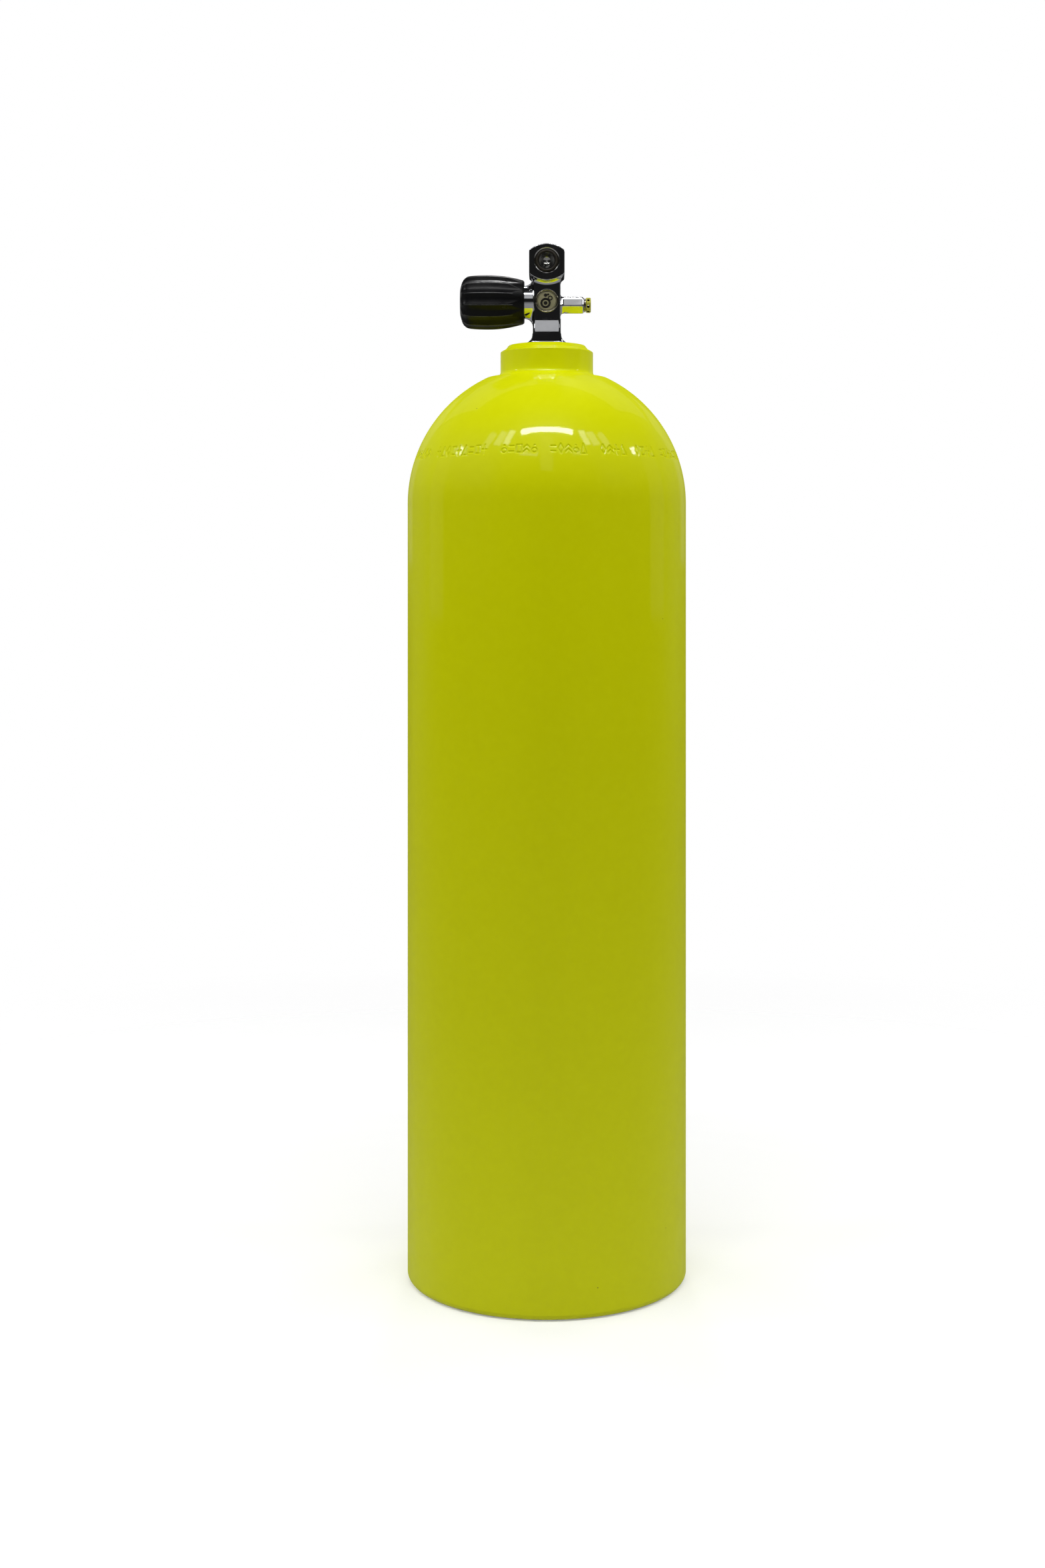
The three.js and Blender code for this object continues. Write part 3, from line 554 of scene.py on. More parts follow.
def stamp_relief(angles, rise):
    """Depth of the stamped marks at angles in degrees from the front and heights along the dome."""
    depth = np.zeros_like(angles)
    slot = 0
    to_mm = math.radians(1) * math.sqrt(TANK_RADIUS**2 - (STAMP_HEIGHT - DOME_CENTRE) ** 2)
    for start, count in STAMP_GROUPS:
        for i in range(count):
            centre = start + (i + 0.5) * STAMP_PITCH
            u = ((angles - centre + 180) % 360 - 180) * to_mm
            near = np.abs(u) < 3
            away = stamp_distance(u[near], rise[near], (slot * 5 + slot // 3) % 7)
            inside = (np.abs(u[near]) < STAMP_SIZE[0] + 0.6) & (np.abs(rise[near]) < STAMP_SIZE[1] + 0.6)
            cut = np.where(inside, smoothstep(STAMP_STROKE + 0.25 - away, 0, 0.5), 0)
            depth[near] = np.maximum(depth[near], cut * STAMP_DEPTH)
            slot += 1
    return depth


def tank_shell():
    """The painted shell: foot ring, wall, dome with its stamped band, neck, bore and inside."""
    r = TANK_RADIUS
    coarse, fine = 256, 2048  # points round a row; fine is halved three times beside the band
    band_middle = math.degrees(math.asin((STAMP_HEIGHT - DOME_CENTRE) / r))
    band_half = math.degrees((STAMP_SIZE[1] + 1.1) / r)
    edge_step = 0.5
    dome_end = math.degrees(math.acos(NECK_DOME_R / r))

    def dome(angle):
        a = math.radians(angle)
        return (r * math.cos(a), DOME_CENTRE + r * math.sin(a))

    foot = rounded([(0, 1.5), (FOOT_INSIDE - 4, 1.5, 3), (FOOT_INSIDE, 0, 2), (88, 0)])
    foot += arc(r - FOOT_ROUND, FOOT_ROUND, FOOT_ROUND, -90, 0, 12)
    rows = [(p, coarse) for p in foot]
    rows += [((r, h), coarse) for h in np.linspace(30, DOME_CENTRE - 20, 16)]
    low, high = band_middle - band_half, band_middle + band_half
    rows += [(dome(a), coarse) for a in np.linspace(0, low - 3 * edge_step - 1, 14)]
    rows += [(dome(low - n * edge_step), fine >> n) for n in (3, 2, 1)]
    rows += [(dome(a), fine) for a in np.linspace(low, high, 27)]
    rows += [(dome(high + n * edge_step), fine >> n) for n in (1, 2, 3)]
    rows += [(dome(a), coarse) for a in np.linspace(high + 3 * edge_step + 1, dome_end - 2, 26)]
    neck = rounded([
        dome(dome_end - 1), (*dome(dome_end), 5), (NECK_RADIUS, NECK_FOOT, 4.5),
        (NECK_RADIUS, 673.6, 1.1), (31.4, 674.9, 0.9), (30, 675.7, 0.5), (28, NECK_TOP, 0.5),
        (SEAL_SEAT_R, NECK_TOP, 0.2), (SEAL_SEAT_R, SEAL_SEAT, 0.4), (BORE_RADIUS, SEAL_SEAT, 0.3),
        (BORE_RADIUS, 660),
    ], steps=6)
    inner = arc(0, DOME_CENTRE, r - WALL, 81, 0, 30)
    inner += arc(r - WALL - INSIDE_ROUND, INSIDE_FLOOR + INSIDE_ROUND, INSIDE_ROUND, 0, -90, 12)
    inner.append((0, INSIDE_FLOOR))
    rows += [(p, coarse) for p in neck + inner]
    verts, faces = lathe([p for p, _ in rows], [n for _, n in rows])

    radial = np.hypot(verts[:, 0], verts[:, 1])
    rise = np.degrees(np.arctan2(verts[:, 2] - DOME_CENTRE, radial)) - band_middle
    on_dome = (np.hypot(radial, verts[:, 2] - DOME_CENTRE) > r - 1) & (np.abs(rise) < band_half)
    angles = np.degrees(np.arctan2(verts[:, 0], -verts[:, 1]))
    depth = np.zeros(len(verts))
    depth[on_dome] = stamp_relief(angles[on_dome], np.radians(rise[on_dome]) * r)
    centre = np.array([0, 0, DOME_CENTRE])
    outward = (verts - centre) / np.linalg.norm(verts - centre, axis=1)[:, None]
    return make_object("tank_shell", verts - outward * depth[:, None], faces, [PAINT], sharp=60)


# ---- Valve body --------------------------------------------------------------------------

# Distances are in mm from the neck's top face, as in the frame.
STEM_H = STEM_Z - NECK_TOP
BURST_H = BURST_Z - NECK_TOP
HEAD_HIGH = HEAD_TOP - NECK_TOP
HEAD_LOW = 46.2
HEAD_HALF = 12.9
HEAD_DEPTH = 15.5
HEAD_ARC = 19.5
COLUMN_HALF = 10.0
COLUMN_DEPTH = 10.2
COLUMN_TOP = 56.0
FOOT_DEPTH = 12.2
FOOT_SLOPE = (0.967, 0.2545)  # parts of the slope's direction: to the front and up
FOOT_SLOPE_TOP = 17.5
FOOT_SLOPE_DENT = 0.003  # makes the slope slightly hollow above height 9.9
BONNET_BOSS_R = 11.85
BONNET_BOSS_END = -22.0
BURST_BOSS_HALF = 5.95  # half the width across its flats
BURST_BOSS_ROUND = 6.75  # radius of its turned corners
BURST_BOSS_TURNS = (20, -40, -100)  # directions of the flats, up from the front, degrees
BURST_BOSS_END = 27.1
FLARE_TOP = 7.8
FLARE_WIDE = 16.5
FLANGE_RADIUS = 16.6
FLANGE_TOP = 1.8
SHANK_BOTTOM = -24.3
SHANK_ROOT = 12.2
SHANK_CREST = 13.0
SHANK_PITCH = 1.81
OUTLET_MOUTH = 9.5
GRID = 0.42  # spacing of the grid that finds the forging's surface


def smooth_max(a, b, k):
    """The larger of two distances, with the edge between them rounded by about k."""
    h = np.maximum(k - np.abs(a - b), 0) / k
    return np.maximum(a, b) + h * h * k / 4


def smooth_min(a, b, k):
    """The smaller of two distances, with a fillet of about k between them."""
    return -smooth_max(-a, -b, k)


def forging_distance(x, y, z):
    """Distance to the outside of the valve forging above the neck, negative inside."""
    ay = np.abs(y)
    radial = np.hypot(x, y)
    column = smooth_max(np.abs(x) - COLUMN_HALF, ay - COLUMN_DEPTH, 2.0)
    column = np.maximum(column, np.maximum(1 - z, z - COLUMN_TOP))
    # round bosses: the fillets to the column are wide above and below, tight in front
    fillet = 0.7 + 7 * (1 - smoothstep(ay, 3, 10))
    bonnet_boss = np.hypot(y, z - STEM_H) - BONNET_BOSS_R
    bonnet_boss = smooth_max(bonnet_boss, np.maximum(BONNET_BOSS_END - x, x + 9.3), 0.8)
    burst_boss = np.hypot(y, z - BURST_H) - BURST_BOSS_ROUND
    for turn in np.radians(BURST_BOSS_TURNS):
        flats = np.abs((z - BURST_H) * math.sin(turn) - y * math.cos(turn)) - BURST_BOSS_HALF
        burst_boss = smooth_max(burst_boss, flats, 0.5)
    burst_boss = smooth_max(burst_boss, np.maximum(x - BURST_BOSS_END, -x), 1.6)
    body = smooth_min(column, bonnet_boss, fillet)
    body = smooth_min(body, burst_boss, 2.6)
    # foot: flat front and back that slope in to the column, sides that curve out over the flange
    rise = np.clip((FLARE_TOP - z) / (FLARE_TOP - FLANGE_TOP), 0, 1)
    flare_half = FLARE_WIDE - (FLARE_WIDE - COLUMN_HALF - 0.3) * np.sqrt(1 - rise * rise)
    flare = smooth_max((np.abs(x) - flare_half) * 0.75, radial - FLARE_WIDE, 2.5)
    flare = np.maximum(flare, np.maximum(z - FLARE_TOP, 1 - z))
    slope = (ay - COLUMN_DEPTH) * FOOT_SLOPE[0] + (z - FOOT_SLOPE_TOP) * FOOT_SLOPE[1]
    slope += FOOT_SLOPE_DENT * (FOOT_SLOPE_TOP - z) * (z - 9.9)
    foot = smooth_max(np.abs(x) - COLUMN_HALF, slope, 1.2)
    foot = smooth_max(foot, np.maximum(1 - z, z - 19), 0.4)
    foot = smooth_max(smooth_min(foot, flare, 1.2), ay - FOOT_DEPTH, 0.8)
    body = smooth_min(body, foot, 0.7)
    flange = smooth_max(radial - FLANGE_RADIUS, np.maximum(z - FLANGE_TOP, 0.3 - z), 0.5)
    body = smooth_min(body, flange, 0.5)
    # head: flat sides, arched top and bottom
    top = np.hypot(x, z - (HEAD_HIGH - HEAD_ARC)) - HEAD_ARC
    bottom = np.hypot(x, z - (HEAD_LOW + HEAD_ARC)) - HEAD_ARC
    outline = smooth_max(smooth_max(np.abs(x) - HEAD_HALF, top, 0.8), bottom, 0.8)
    head = smooth_max(outline, ay - HEAD_DEPTH, 0.5)
    return smooth_max(smooth_min(body, head, 3.4), ay - HEAD_DEPTH, 0.5)


def surface_net(distance, low, high, spacing):
    """A closed quad mesh on a distance field's zero surface, each vertex moved onto it."""
    axes = [np.arange(lo, hi + spacing, spacing) for lo, hi in zip(low, high)]
    field = distance(*np.meshgrid(*axes, indexing="ij"))
    inside = field < 0
    nx, ny, nz = (n - 1 for n in field.shape)
    total = np.zeros((nx, ny, nz, 3))
    count = np.zeros((nx, ny, nz))
    corners = [(i, j, k) for i in (0, 1) for j in (0, 1) for k in (0, 1)]
    for a in corners:
        for axis in range(3):
            if a[axis]:
                continue
            b = tuple(value + (n == axis) for n, value in enumerate(a))
            part_a = tuple(slice(o, o + n) for o, n in zip(a, (nx, ny, nz)))
            part_b = tuple(slice(o, o + n) for o, n in zip(b, (nx, ny, nz)))
            fa, fb = field[part_a], field[part_b]
            crossing = inside[part_a] != inside[part_b]
            t = np.where(crossing, fa / np.where(crossing, fa - fb, 1), 0)
            for n in range(3):
                place = a[n] + (t if n == axis else 0)
                total[..., n] += np.where(crossing, place, 0)
            count += crossing
    used = count > 0
    number = np.full(count.shape, -1)
    number[used] = np.arange(used.sum())
    cells = np.argwhere(used)
    steps = cells + total[used] / count[used][:, None]
    verts = np.array(low) + steps * spacing
    faces = []
    for axis in range(3):
        b_axis, c_axis = (axis + 1) % 3, (axis + 2) % 3
        ahead = tuple(slice(1, None) if n == axis else slice(None) for n in range(3))
        behind = tuple(slice(None, -1) if n == axis else slice(None) for n in range(3))
        crossing = np.argwhere(inside[behind] != inside[ahead])
        keep = (crossing[:, b_axis] > 0) & (crossing[:, c_axis] > 0)
        keep &= (crossing[:, b_axis] < count.shape[b_axis]) & (crossing[:, c_axis] < count.shape[c_axis])
        crossing = crossing[keep]
        quad = []
        for db, dc in ((-1, -1), (0, -1), (0, 0), (-1, 0)):
            cell = crossing.copy()
            cell[:, b_axis] += db
            cell[:, c_axis] += dc
            quad.append(number[tuple(cell.T)])
        quad = np.stack(quad, axis=1)
        leaving = inside[tuple(crossing.T)]
        faces.append(np.where(leaving[:, None], quad, quad[:, ::-1]))
    return settle(distance, verts, 6), np.concatenate(faces).tolist()


def settle(distance, verts, rounds):
    """Moves points onto the surface along the field's slope."""
    step = 0.02
    for _ in range(rounds):
        x, y, z = verts.T
        value = distance(x, y, z)
        slope = np.stack([
            distance(x + step, y, z) - distance(x - step, y, z),
            distance(x, y + step, z) - distance(x, y - step, z),
            distance(x, y, z + step) - distance(x, y, z - step),
        ], axis=1) / (2 * step)
        steepness = np.maximum((slope**2).sum(axis=1), 0.1)
        move = -slope * (value / steepness)[:, None]
        size = np.linalg.norm(move, axis=1)[:, None]
        verts = verts + move * np.minimum(1, 0.3 / np.maximum(size, 1e-9))
    return verts


def outlet_cutters():
    """Seal groove with its polished step, bowl, and the dimple in the back of the head."""
    face = -HEAD_DEPTH
    groove = rounded([
        (5.95, face - 1), (OUTLET_MOUTH, face - 1), (OUTLET_MOUTH, face + 0.3, 0.25),
        (8.75, face + 0.75, 0.2), (8.3, face + 1.15, 0.2), (8.3, face + 2.8, 0.3),
        (5.95, face + 2.8, 0.3),
    ], closed=True, steps=3)
    hollow = [(5.5, face + 0.6), (5.2, face + 1.0), (4.4, face + 2.1), (2.6, face + 4.0), (0, face + 4.9)]
    bowl = [(0, face - 1), (6.05, face - 1), (6.05, face + 0.6), *spline(hollow, 20)]
    back = HEAD_DEPTH
    dimple = rounded([
        (0, back - 5), (3.2, back - 5, 0.5), (5.4, back - 0.25, 0.3), (5.9, back, 0.2),
        (6.1, back + 1), (0, back + 1),
    ], steps=4)
    return [
        turned("groove", groove, 128, "Y", PORT_LINE),
        turned("bowl", bowl, 128, "Y", PORT_LINE),
        turned("dimple", dimple, 96, "Y", PORT_LINE),
    ]


def gas_way_cutters():
    """Bores for stem, bonnet and burst disc, and the ways between them."""
    chamber = [(0, -15.9), (6, -15.9), (6, 0.5), (3.5, 0.5), (3.5, -0.5), (0, -0.5)]
    return [
        turned("chamber", chamber, 64, "X", STEM_LINE),
        turned("bonnet_bore", disc_profile(8.5, BONNET_BOSS_END - 1, -14.9), 64, "X", STEM_LINE),
        turned("burst_port", disc_profile(4.4, 17.5, BURST_BOSS_END + 1), 64, "X", BURST_LINE),
        drill((-1.5, 0, STEM_Z), (6.2, 0, STEM_Z), 2.4),
        drill((4.2, 0, BURST_Z), (18.5, 0, BURST_Z), 2.0),
        turned("tube_socket", disc_profile(4.3, NECK_TOP - 25.3, NECK_TOP - 15.7), 48, "Z", (0, 0, 0)),
        drill((0, 0, NECK_TOP - 17), (5.2, 0, STEM_Z + 1), 2.6),
        drill((0, -11.4, PORT_Z - 3.3), (-1.7, 0, STEM_Z + 5), 1.7),
        drill((0, -12.6, PORT_Z - 2.9), (0, -10.6, PORT_Z - 3.5), 1.6),
    ]


def valve_forging():
    """The chromed body: blended forging, threaded shank, machined outlet and bores."""
    low = (BONNET_BOSS_END - 1, -HEAD_DEPTH - 1, -0.6)
    high = (BURST_BOSS_END + 1, HEAD_DEPTH + 1, HEAD_HIGH + 1)
    verts, faces = surface_net(forging_distance, low, high, GRID)
    body = make_object("valve_forging", verts + np.array([0, 0, NECK_TOP]), faces)
    shank = [(0, SHANK_BOTTOM), (SHANK_ROOT, SHANK_BOTTOM), (SHANK_ROOT, SHANK_BOTTOM + 0.7)]
    for i in range(10):
        ridge = SHANK_BOTTOM + 1 + i * SHANK_PITCH
        shank += [(SHANK_ROOT, ridge), (SHANK_CREST, ridge + 0.7), (SHANK_CREST, ridge + 1.1)]
    shank += [(SHANK_ROOT, -4.2), (SHANK_ROOT, 1.0), (0, 1.0)]
    tool = turned("shank", shank, 96, "Z", (0, 0, NECK_TOP))
    combine(body, [tool], "UNION")
    seat = disc_profile(8.8, -FOOT_DEPTH, 0.9 - COLUMN_DEPTH)
    badge_seat = turned("badge_seat", seat, 128, "Y", BADGE_LINE)
    combine(body, [*outlet_cutters(), badge_seat, *gas_way_cutters()], "DIFFERENCE")
    dress(body, CHROME, 38)
    body.data.materials.append(SATIN)
    for polygon in body.data.polygons:
        place = polygon.center / MM
        near_port = math.hypot(place.x, place.z - PORT_Z) < OUTLET_MOUTH + 0.1
        polygon.material_index = int(near_port and 0.1 - HEAD_DEPTH < place.y < -8)
    return body


# ---- Badge and seals ---------------------------------------------------------------------


def badge_emblem():
    """Round plate: a turned rim, fine dark rings and a plain emblem of rings and bubbles."""
    face = -COLUMN_DEPTH
    rim = arc(8.0, face + 0.12, 0.48, 0, -180, 10)
    plate = [(0, face + 0.6), (8.48, face + 0.6), *rim, (7.5, face + 0.12), (7.42, face + 0.16)]
    plate += [(7.2, face + 0.16), (7.12, face - 0.06), (6.85, face - 0.06), (6.78, face + 0.1)]
    plate += [(6.55, face + 0.1), (6.48, face), (0, face)]
    badge = turned("badge_plate", plate, 128, "Y", BADGE_LINE, [BADGE_FIELD, BADGE_DARK, BADGE_RIM], sharp=50)
    for polygon in badge.data.polygons:
        place = polygon.center / MM
        r = math.hypot(place.x, place.z - BADGE_Z)
        dark = 7.1 < r < 7.52 or 6.5 < r < 6.8
        polygon.material_index = 2 if r > 7.52 else int(dark)

    def raised(inner, outer, x, z):
        low, high = face + 0.2, face - 0.16
        profile = [(inner, low), (outer, low), (outer, high), (inner, high)]
        shift = (x, 0, BADGE_Z + z)
        piece = turned("raised", profile, 72, "Y", shift, [BADGE_FIELD, BADGE_DARK, BADGE_RIM])
        piece.data.polygons.foreach_set("material_index", [1] * len(piece.data.polygons))
        return piece

    shapes = [raised(2.3, 3.7, -0.9, -1.6), raised(0, 1.35, -0.9, -1.6), raised(1.0, 1.75, 2.5, 2.0)]
    shapes += [raised(0, 1.15, -0.9, 4.1), raised(0, 0.75, 1.0, 4.6)]
    combine(badge, shapes, "UNION")
    soften(badge, 50)
    return badge


def port_seal():
    """O-ring in the groove of the outlet."""
    profile = arc(7.12, 0, 1.1, 0, 360, 24)[:-1]
    return turned("port_seal", profile, 128, "Y", (0, 1.4 - HEAD_DEPTH, PORT_Z), [SEAL], sharp=80)


# ---- Handwheel ---------------------------------------------------------------------------

FLUTE_COUNT = 14
FLUTE_STEPS = 28  # points across a flute
FLUTE_DEPTH = 1.3
RIDGE_RADIUS = 19.85
RIDGE_ROUND = 0.35
RIDGE_HIGHLIGHT_HALF = 0.3  # half width of the paler line on a ridge: painted highlight together with rubbed wear


def rubber_grip():
    """Sleeve with scooped flutes that meet in ridges, run out to points at the mouth and wrap the end."""
    crown = [(16.1, -17.75), (17.6, -23.5), (19, -30), (19.8, -38), (19.85, -48), (19.2, -56.6)]
    end = [(17.6, -59.8), (15.4, -61.5), (12.6, -62.5), (9.6, -63.25)]
    outer = spline(crown + end, 84)
    mouth = [(14.6, -16.45), (14.95, -16.4), (15.7, -17.1), (15.98, -17.45)]
    inner = [(12.7, -61.7), (15.9, -56), (16.9, -47), (16.3, -36), (14.9, -24), (14.2, -17.0)]
    lip = arc(9.6, -62.75, 0.5, -90, -180, 4)
    profile = [*mouth, *outer, *lip, (9.1, -61.7), *inner]
    verts, faces = lathe(profile, FLUTE_COUNT * FLUTE_STEPS, "X")
    r = np.hypot(verts[:, 1], verts[:, 2])
    x = verts[:, 0]
    outside = {(round(float(p), 4), round(float(q), 4)) for p, q in outer}
    on_outer = np.array([(round(a, 4), round(b, 4)) in outside for a, b in zip(r, x)])
    run_in = smoothstep(-x, 18.0, 30)
    wrap = np.where(x < -50, smoothstep(r, 10.5, 17.5), 1)
    depth = FLUTE_DEPTH * run_in * wrap
    spacing = 2 * math.pi / FLUTE_COUNT
    front = np.arctan2(verts[:, 2], -verts[:, 1])
    off_centre = (front + spacing / 2) % spacing - spacing / 2
    half_width = RIDGE_RADIUS * spacing / 2
    from_ridge = half_width - np.abs(off_centre) * RIDGE_RADIUS
    across = half_width - (np.hypot(from_ridge, RIDGE_ROUND) - RIDGE_ROUND)
    cut = np.maximum(depth - FLUTE_DEPTH * (across / half_width) ** 2, 0)
    scale = np.where(on_outer, 1 - cut / r, 1)
    verts[:, 1] *= scale
    verts[:, 2] *= scale
    verts += np.array([0, 0, STEM_Z])
    grip = make_object("rubber_grip", verts, faces, [RUBBER, RIDGE_HIGHLIGHT_AND_WEAR], sharp=75)
    # Faces on the outer ridge crests get the paler rubber: a painted highlight along each crest, together
    # with rubbed wear.
    for polygon in grip.data.polygons:
        place = polygon.center / MM
        turn = math.atan2(place.z - STEM_Z, -place.y) / spacing
        on_ridge = abs(turn % 1 - 0.5) * spacing * RIDGE_RADIUS < RIDGE_HIGHLIGHT_HALF
        outer_side = place.x < -25 and math.hypot(place.y, place.z - STEM_Z) > 17.2
        polygon.material_index = int(on_ridge and outer_side)
    return grip


def wheel_hub():
    """Hard hub: cavity for the bonnet, square-holed web, recess for spring and nut."""
    profile = rounded([
        (12.4, -17.6), (13.9, -17.6), (14.6, -24), (16, -36), (16.6, -47), (15.6, -56), (12.4, -61.4),
        (8.2, -61.4, 0.4), (8.2, -50.6, 0.3), (1, -50.6), (1, -31), (7.5, -31, 0.3), (7.5, -44),
        (12.4, -44),
    ], closed=True)
    hub = turned("wheel_hub", profile, 96, "X", STEM_LINE)
    half = 3.45
    square = block((-62, -half, STEM_Z - half), (-17, half, STEM_Z + half))
    combine(hub, [square], "DIFFERENCE")
    return dress(hub, PLASTIC, 40)


def wheel_nut():
    """Flanged hex nut on the end of the stem."""
    nut = hexagon("wheel_nut", 11, -62.6, -58.6, STEM_LINE)
    flange = rounded([(0, -59.2), (7.3, -59.2, 0.2), (7.3, -57.9, 0.2), (0, -57.9)])
    combine(nut, [turned("flange", flange, 96, "X", STEM_LINE)], "UNION")
    bore = [(0, -63), (3.6, -63), (3.2, -62.1), (3.2, -57), (0, -57)]
    combine(nut, [turned("bore", bore, 64, "X", STEM_LINE)], "DIFFERENCE")
    return dress(nut, BRASS, 30)


def stem_end():
    """Spindle: tang, collar, sealed shaft, square drive and threaded end."""
    shaft = rounded([
        (0, -15.6), (5.6, -15.6, 0.2), (5.6, -17.6, 0.2), (3.9, -17.6), (3.9, -22.3), (2.65, -22.3),
        (2.65, -24.7), (3.9, -24.7), (3.9, -30.5, 0.3), (0, -30.5),
    ])
    stem = turned("spindle", shaft, 64, "X", STEM_LINE)
    thread = []
    for i in range(7):
        thread += [(2.55, -60.5 + i * 1.1), (2.9, -60.1 + i * 1.1), (2.9, -59.9 + i * 1.1)]
    end = [(0, -61.2), (2.3, -61.2), (2.55, -60.9), *thread, (2.55, -51.5), (0, -51.5)]
    tang = block((-16.6, -0.9, STEM_Z - 4.8), (-8.7, 0.9, STEM_Z + 4.8))
    square = block((-52.4, -3.1, STEM_Z - 3.1), (-29.5, 3.1, STEM_Z + 3.1))
    combine(stem, [turned("end", end, 64, "X", STEM_LINE), tang, square], "UNION")
    return dress(stem, BRASS, 30)


def coil_spring():
    """Round-wire spring between the cup and the nut."""
    radius, wire, turns, start, end = 6.0, 0.6, 3, -52.7, -57.0
    around, along = 12, 96
    verts = []
    for i in range(along + 1):
        t = i / along
        angle = t * turns * 2 * math.pi
        out = np.array([0, math.cos(angle), math.sin(angle)])
        centre = out * radius + np.array([start + (end - start) * t, 0, STEM_Z])
        for k in range(around):
            a = 2 * math.pi * k / around
            verts.append(centre + out * wire * math.cos(a) + np.array([wire * math.sin(a), 0, 0]))
    rows = [list(range(i * around, (i + 1) * around)) for i in range(along + 1)]
    faces = [face for a, b in zip(rows, rows[1:]) for face in ring_faces(a, b)]
    faces += [rows[0][::-1], rows[-1]]
    spring = make_object("coil_spring", verts, faces, [STEEL], sharp=60)
    return face_outward(spring)


def face_outward(piece):
    """Turns all faces outward."""
    mesh = bmesh.new()
    mesh.from_mesh(piece.data)
    bmesh.ops.recalc_face_normals(mesh, faces=mesh.faces)
    mesh.to_mesh(piece.data)
    mesh.free()
    return piece


# ---- Burst disc assembly -----------------------------------------------------------------

PLUG_ACROSS = 9.7
PLUG_TURN = math.radians(48)
PLUG_HEAD_START = 28.6
PLUG_HEAD_END = 32.2


def burst_cap():
    """Hex-headed plug with a hollow spigot and cross-drilled vents."""
    plug = hexagon("burst_cap", PLUG_ACROSS, PLUG_HEAD_START, PLUG_HEAD_END, BURST_LINE, PLUG_TURN)
    spigot = turned("spigot", disc_profile(4.1, 19.1, PLUG_HEAD_START + 0.5), 64, "X", BURST_LINE)
    combine(plug, [spigot], "UNION")
    cutters = [turned("bore", disc_profile(1.8, 18, 31.2), 48, "X", BURST_LINE)]
    for i in range(3):
        angle = (i + 0.5) / 3 * math.pi + PLUG_TURN
        y, z = PLUG_ACROSS * math.cos(angle), PLUG_ACROSS * math.sin(angle)
        cutters.append(drill((30.3, -y, BURST_Z - z), (30.3, y, BURST_Z + z), 1.05))
    for cutter in cutters:
        combine(plug, [cutter], "DIFFERENCE")
    dress(plug, PLUG_BRASS_AND_TANK_REFLECTION, 30)
    plug.data.materials.append(HOLLOW_SHADE_BRASS)
    # Faces inside the bore and vents take the near-black brass: painted shade.
    for polygon in plug.data.polygons:
        place = polygon.center / MM
        polygon.material_index = int(math.hypot(place.y, place.z - BURST_Z) < 4.2 and place.x < 32)
    return plug


def flat_washer(name, inner, outer, low, high, centre, material):
    profile = rounded([
        (inner, low, 0.1), (outer, low, 0.15), (outer, high, 0.15), (inner, high, 0.1),
    ], closed=True)
    return turned(name, profile, 96, "X", centre, [material], sharp=50)


# ---- Putting the pieces on the frame -----------------------------------------------------


def put(piece, body, slot, *nodes):
    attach(piece, body)
    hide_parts(*nodes)


put(tank_shell(), "tank", "yellow_paint", "cylinder")
put(valve_forging(), "tank", "chrome", "valve_body")
put(badge_emblem(), "tank", "badge_enamel", "badge")
put(port_seal(), "tank", "black_rubber", "yoke_oring")
put(burst_cap(), "tank", "brass", "burst_plug")
outer_washer = flat_washer("outer_washer", 4.5, 5.15, 27.4, 28.3, BURST_LINE, STEEL)
put(outer_washer, "tank", "steel", "burst_washer")
put(rubber_grip(), "handwheel", "black_rubber", "handwheel_grip")
put(wheel_hub(), "handwheel", "black_plastic", "handwheel_core")
put(wheel_nut(), "handwheel", "brass", "handwheel_nut")
put(stem_end(), "handwheel", "brass", "stem")
put(coil_spring(), "handwheel", "steel", "handwheel_spring")
put(flat_washer("cup_washer", 4.8, 7.6, -51.7, -50.9, STEM_LINE, STEEL), "handwheel", "steel", "spring_cup")

CARRIED_OVER = {
    "dip_tube": PLASTIC,
    "neck_oring": SEAL,
    "bonnet_nut": BRASS,
    "bonnet_gasket": COPPER,
    "thrust_washer": NYLON,
    "stem_oring": SEAL,
    "seat_plug": BRASS,
    "seat_disc": NYLON,
    "burst_gasket": COPPER,
    "burst_disc": COPPER,
}
for node, material in CARRIED_OVER.items():
    slots = frame["nodes"][node].data.materials
    slots.clear()
    slots.append(material)


# ---- Stage, light and camera -------------------------------------------------------------

AIM = np.array([0, 0, 0.62])  # the lights point here, in metres
FLOOR_RADIUS = 1250


def pale_floor():
    """Round sheet of pale paper that fades into the white surroundings."""
    rings = [(0, -0.3), (300, -0.3), (FLOOR_RADIUS, -0.3)]
    verts, faces = lathe(rings, 96, "Z")
    shade = Shader("floor_paper", (0.75, 0.75, 0.75), 0.8, Specular_IOR_Level=0.1)
    shade.tint(shade.span(shade.noise(3, 3), 0.3, 0.7, 0, 0.3), (0.73, 0.73, 0.735))
    shade.glow_for_camera(0.3)
    shade.fade_out(0.35, FLOOR_RADIUS * MM)
    floor = make_object("pale_floor", verts, faces, [shade.material], sharp=60)
    floor.visible_glossy = False  # it lights the object but stays out of its reflections
    return floor


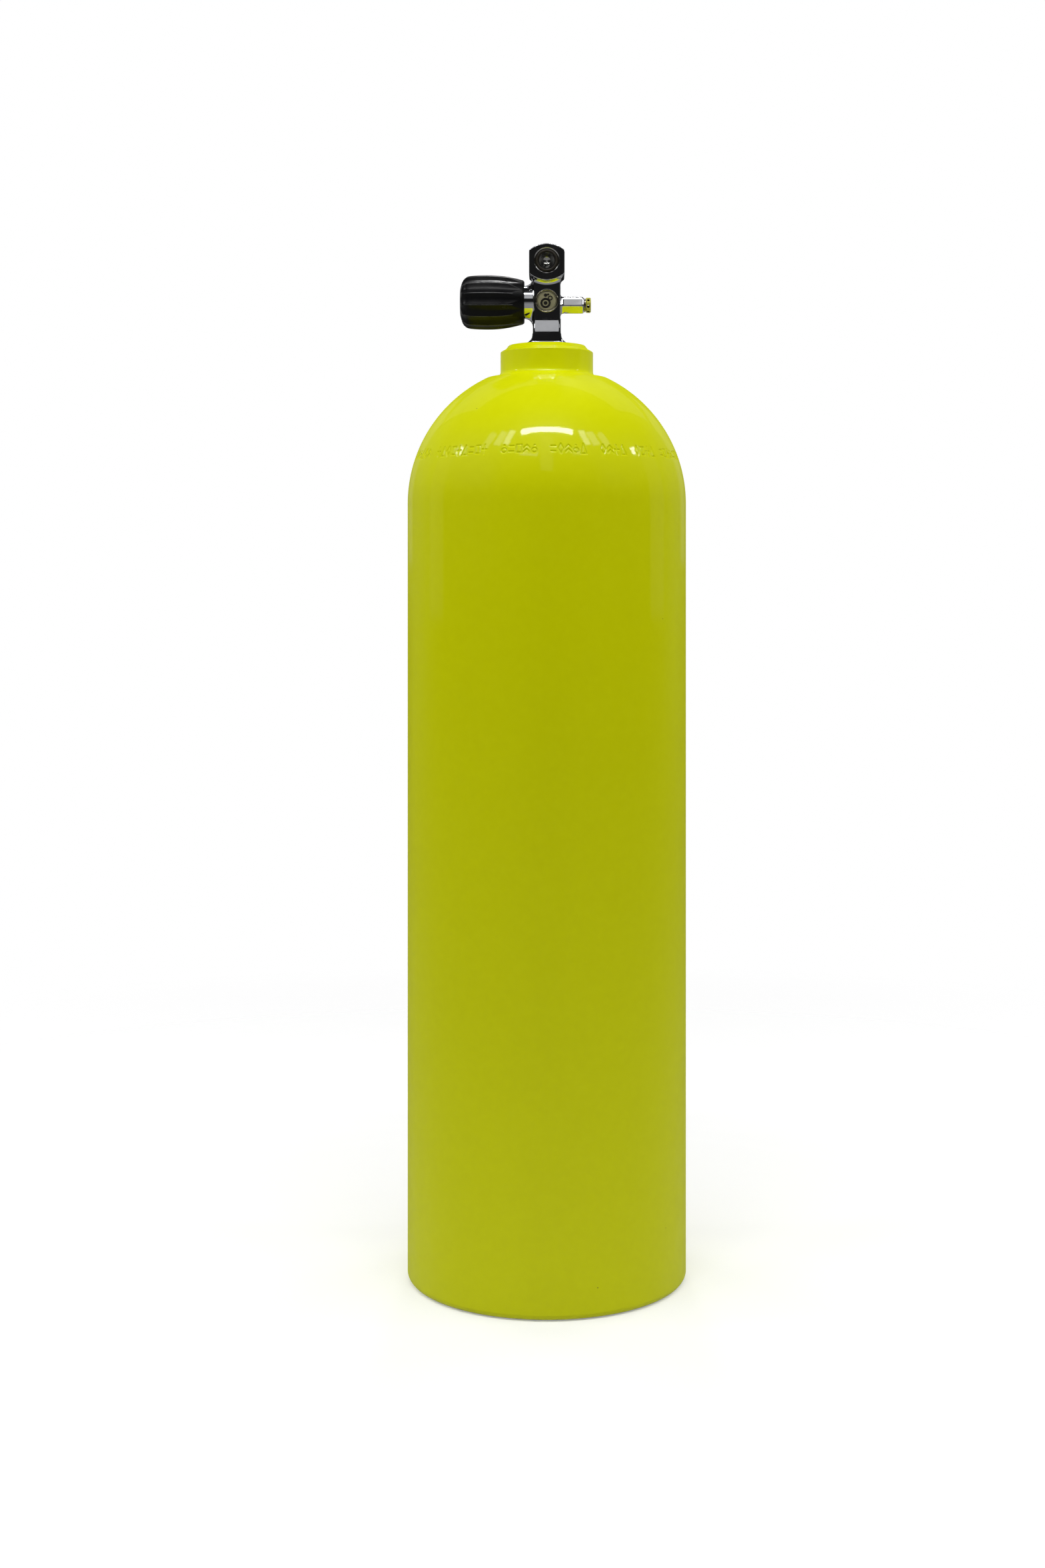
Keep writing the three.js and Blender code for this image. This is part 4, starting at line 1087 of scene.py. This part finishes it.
def studio_world():
    """White for the camera, nearly dark for the object, so that the lamps make the reflections.

    Only reflections that look down see a pale grey, in place of the floor.
    """
    world = bpy.data.worlds.new("studio")
    world.use_nodes = True
    sky = Nodes(world.node_tree)
    path = sky.add("LightPath")
    height = sky.add("SeparateXYZ")
    sky.links.new(sky.add("TexCoord").outputs["Generated"], height.inputs["Vector"])
    mirrored = sky.times(height.outputs["Z"], path.outputs["Is Glossy Ray"])
    dark, white = sky.nodes["Background"], sky.add("Background")
    for background in (dark, white):
        background.inputs["Color"].default_value = (1, 1, 1, 1)
    sky.links.new(sky.span(mirrored, -0.3, -0.02, 0.3, 0.012), dark.inputs["Strength"])
    mix = sky.add("MixShader")
    sky.links.new(path.outputs["Is Camera Ray"], mix.inputs["Fac"])
    sky.links.new(dark.outputs["Background"], mix.inputs[1])
    sky.links.new(white.outputs["Background"], mix.inputs[2])
    sky.links.new(mix.outputs["Shader"], sky.nodes["World Output"].inputs["Surface"])
    return world


def soft_box(name, azimuth, elevation, distance, width, height, radiance):
    """A rectangular light round the object: azimuth from the front to the right, sizes in metres."""
    az, el = math.radians(azimuth), math.radians(elevation)
    direction = np.array([math.cos(el) * math.sin(az), -math.cos(el) * math.cos(az), math.sin(el)])
    data = bpy.data.lights.new(name, "AREA")
    data.shape = "RECTANGLE"
    data.size, data.size_y = width, height
    data.energy = radiance * math.pi * width * height
    lamp = bpy.data.objects.new(name, data)
    bpy.context.scene.collection.objects.link(lamp)
    lamp.location = AIM + direction * distance
    lamp.rotation_euler = Vector(-direction).to_track_quat("-Z", "Y").to_euler()
    return lamp


pale_floor()
# azimuth, elevation, distance, width, height, radiance
soft_box("key_bar", 0, 58, 2.0, 1.3, 0.17, 32)
soft_box("facet_card", 0, 37, 2.0, 0.34, 1.05, 0.5)
soft_box("low_lamp_left", -17, 37, 2.0, 0.5, 0.2, 2.6)
soft_box("low_lamp_right", 29, 37, 2.0, 0.25, 0.2, 2.0)
soft_box("rear_bulb", 180, 56, 2.0, 0.2, 0.12, 70)
for side in (-1, 1):
    soft_box("inner_panel", 42 * side, 48, 2.0, 0.16, 0.44, 7)
    soft_box("middle_panel", 51 * side, 46, 2.0, 0.2, 0.4, 3.2)
    soft_box("outer_panel", 62 * side, 43, 2.0, 0.2, 0.4, 2)
    soft_box("side_lamp", 88 * side, 30, 2.0, 0.2, 0.16, 22)
    soft_box("side_panel", 100 * side, 10, 1.9, 0.6, 1.0, 0.2)
    side_fill = soft_box("side_fill", 68 * side, 27, 1.4, 1.2, 0.9, 2.1 - 0.1 * side)
    side_fill.visible_glossy = False
    edge_fill = soft_box("edge_fill", 130 * side, 10, 1.6, 0.8, 1.0, 2.8)
    edge_fill.visible_glossy = False
soft_box("overhead", 180, 52, 2.3, 3.4, 1.4, 0.3)
ceiling = soft_box("ceiling", 180, 52, 2.32, 3.4, 1.4, 0.25)
ceiling.visible_glossy = False
for azimuth in (150, 208):
    soft_box("rear_panel", azimuth, 12, 2.0, 0.6, 1.0, 0.4)

bpy.context.scene.world = studio_world()
bpy.context.scene.view_settings.view_transform = "Standard"

camera = bpy.data.cameras.new("camera")
camera.lens = 47.5
camera.sensor_width = 36.0
camera.shift_x = -0.0155
camera.shift_y = -0.122
camera.clip_end = 20
eye = bpy.data.objects.new("camera", camera)
bpy.context.scene.collection.objects.link(eye)
eye.location = (0, -1.514, 0.498)
eye.rotation_euler = (math.radians(90), 0, 0)
bpy.context.scene.camera = eye
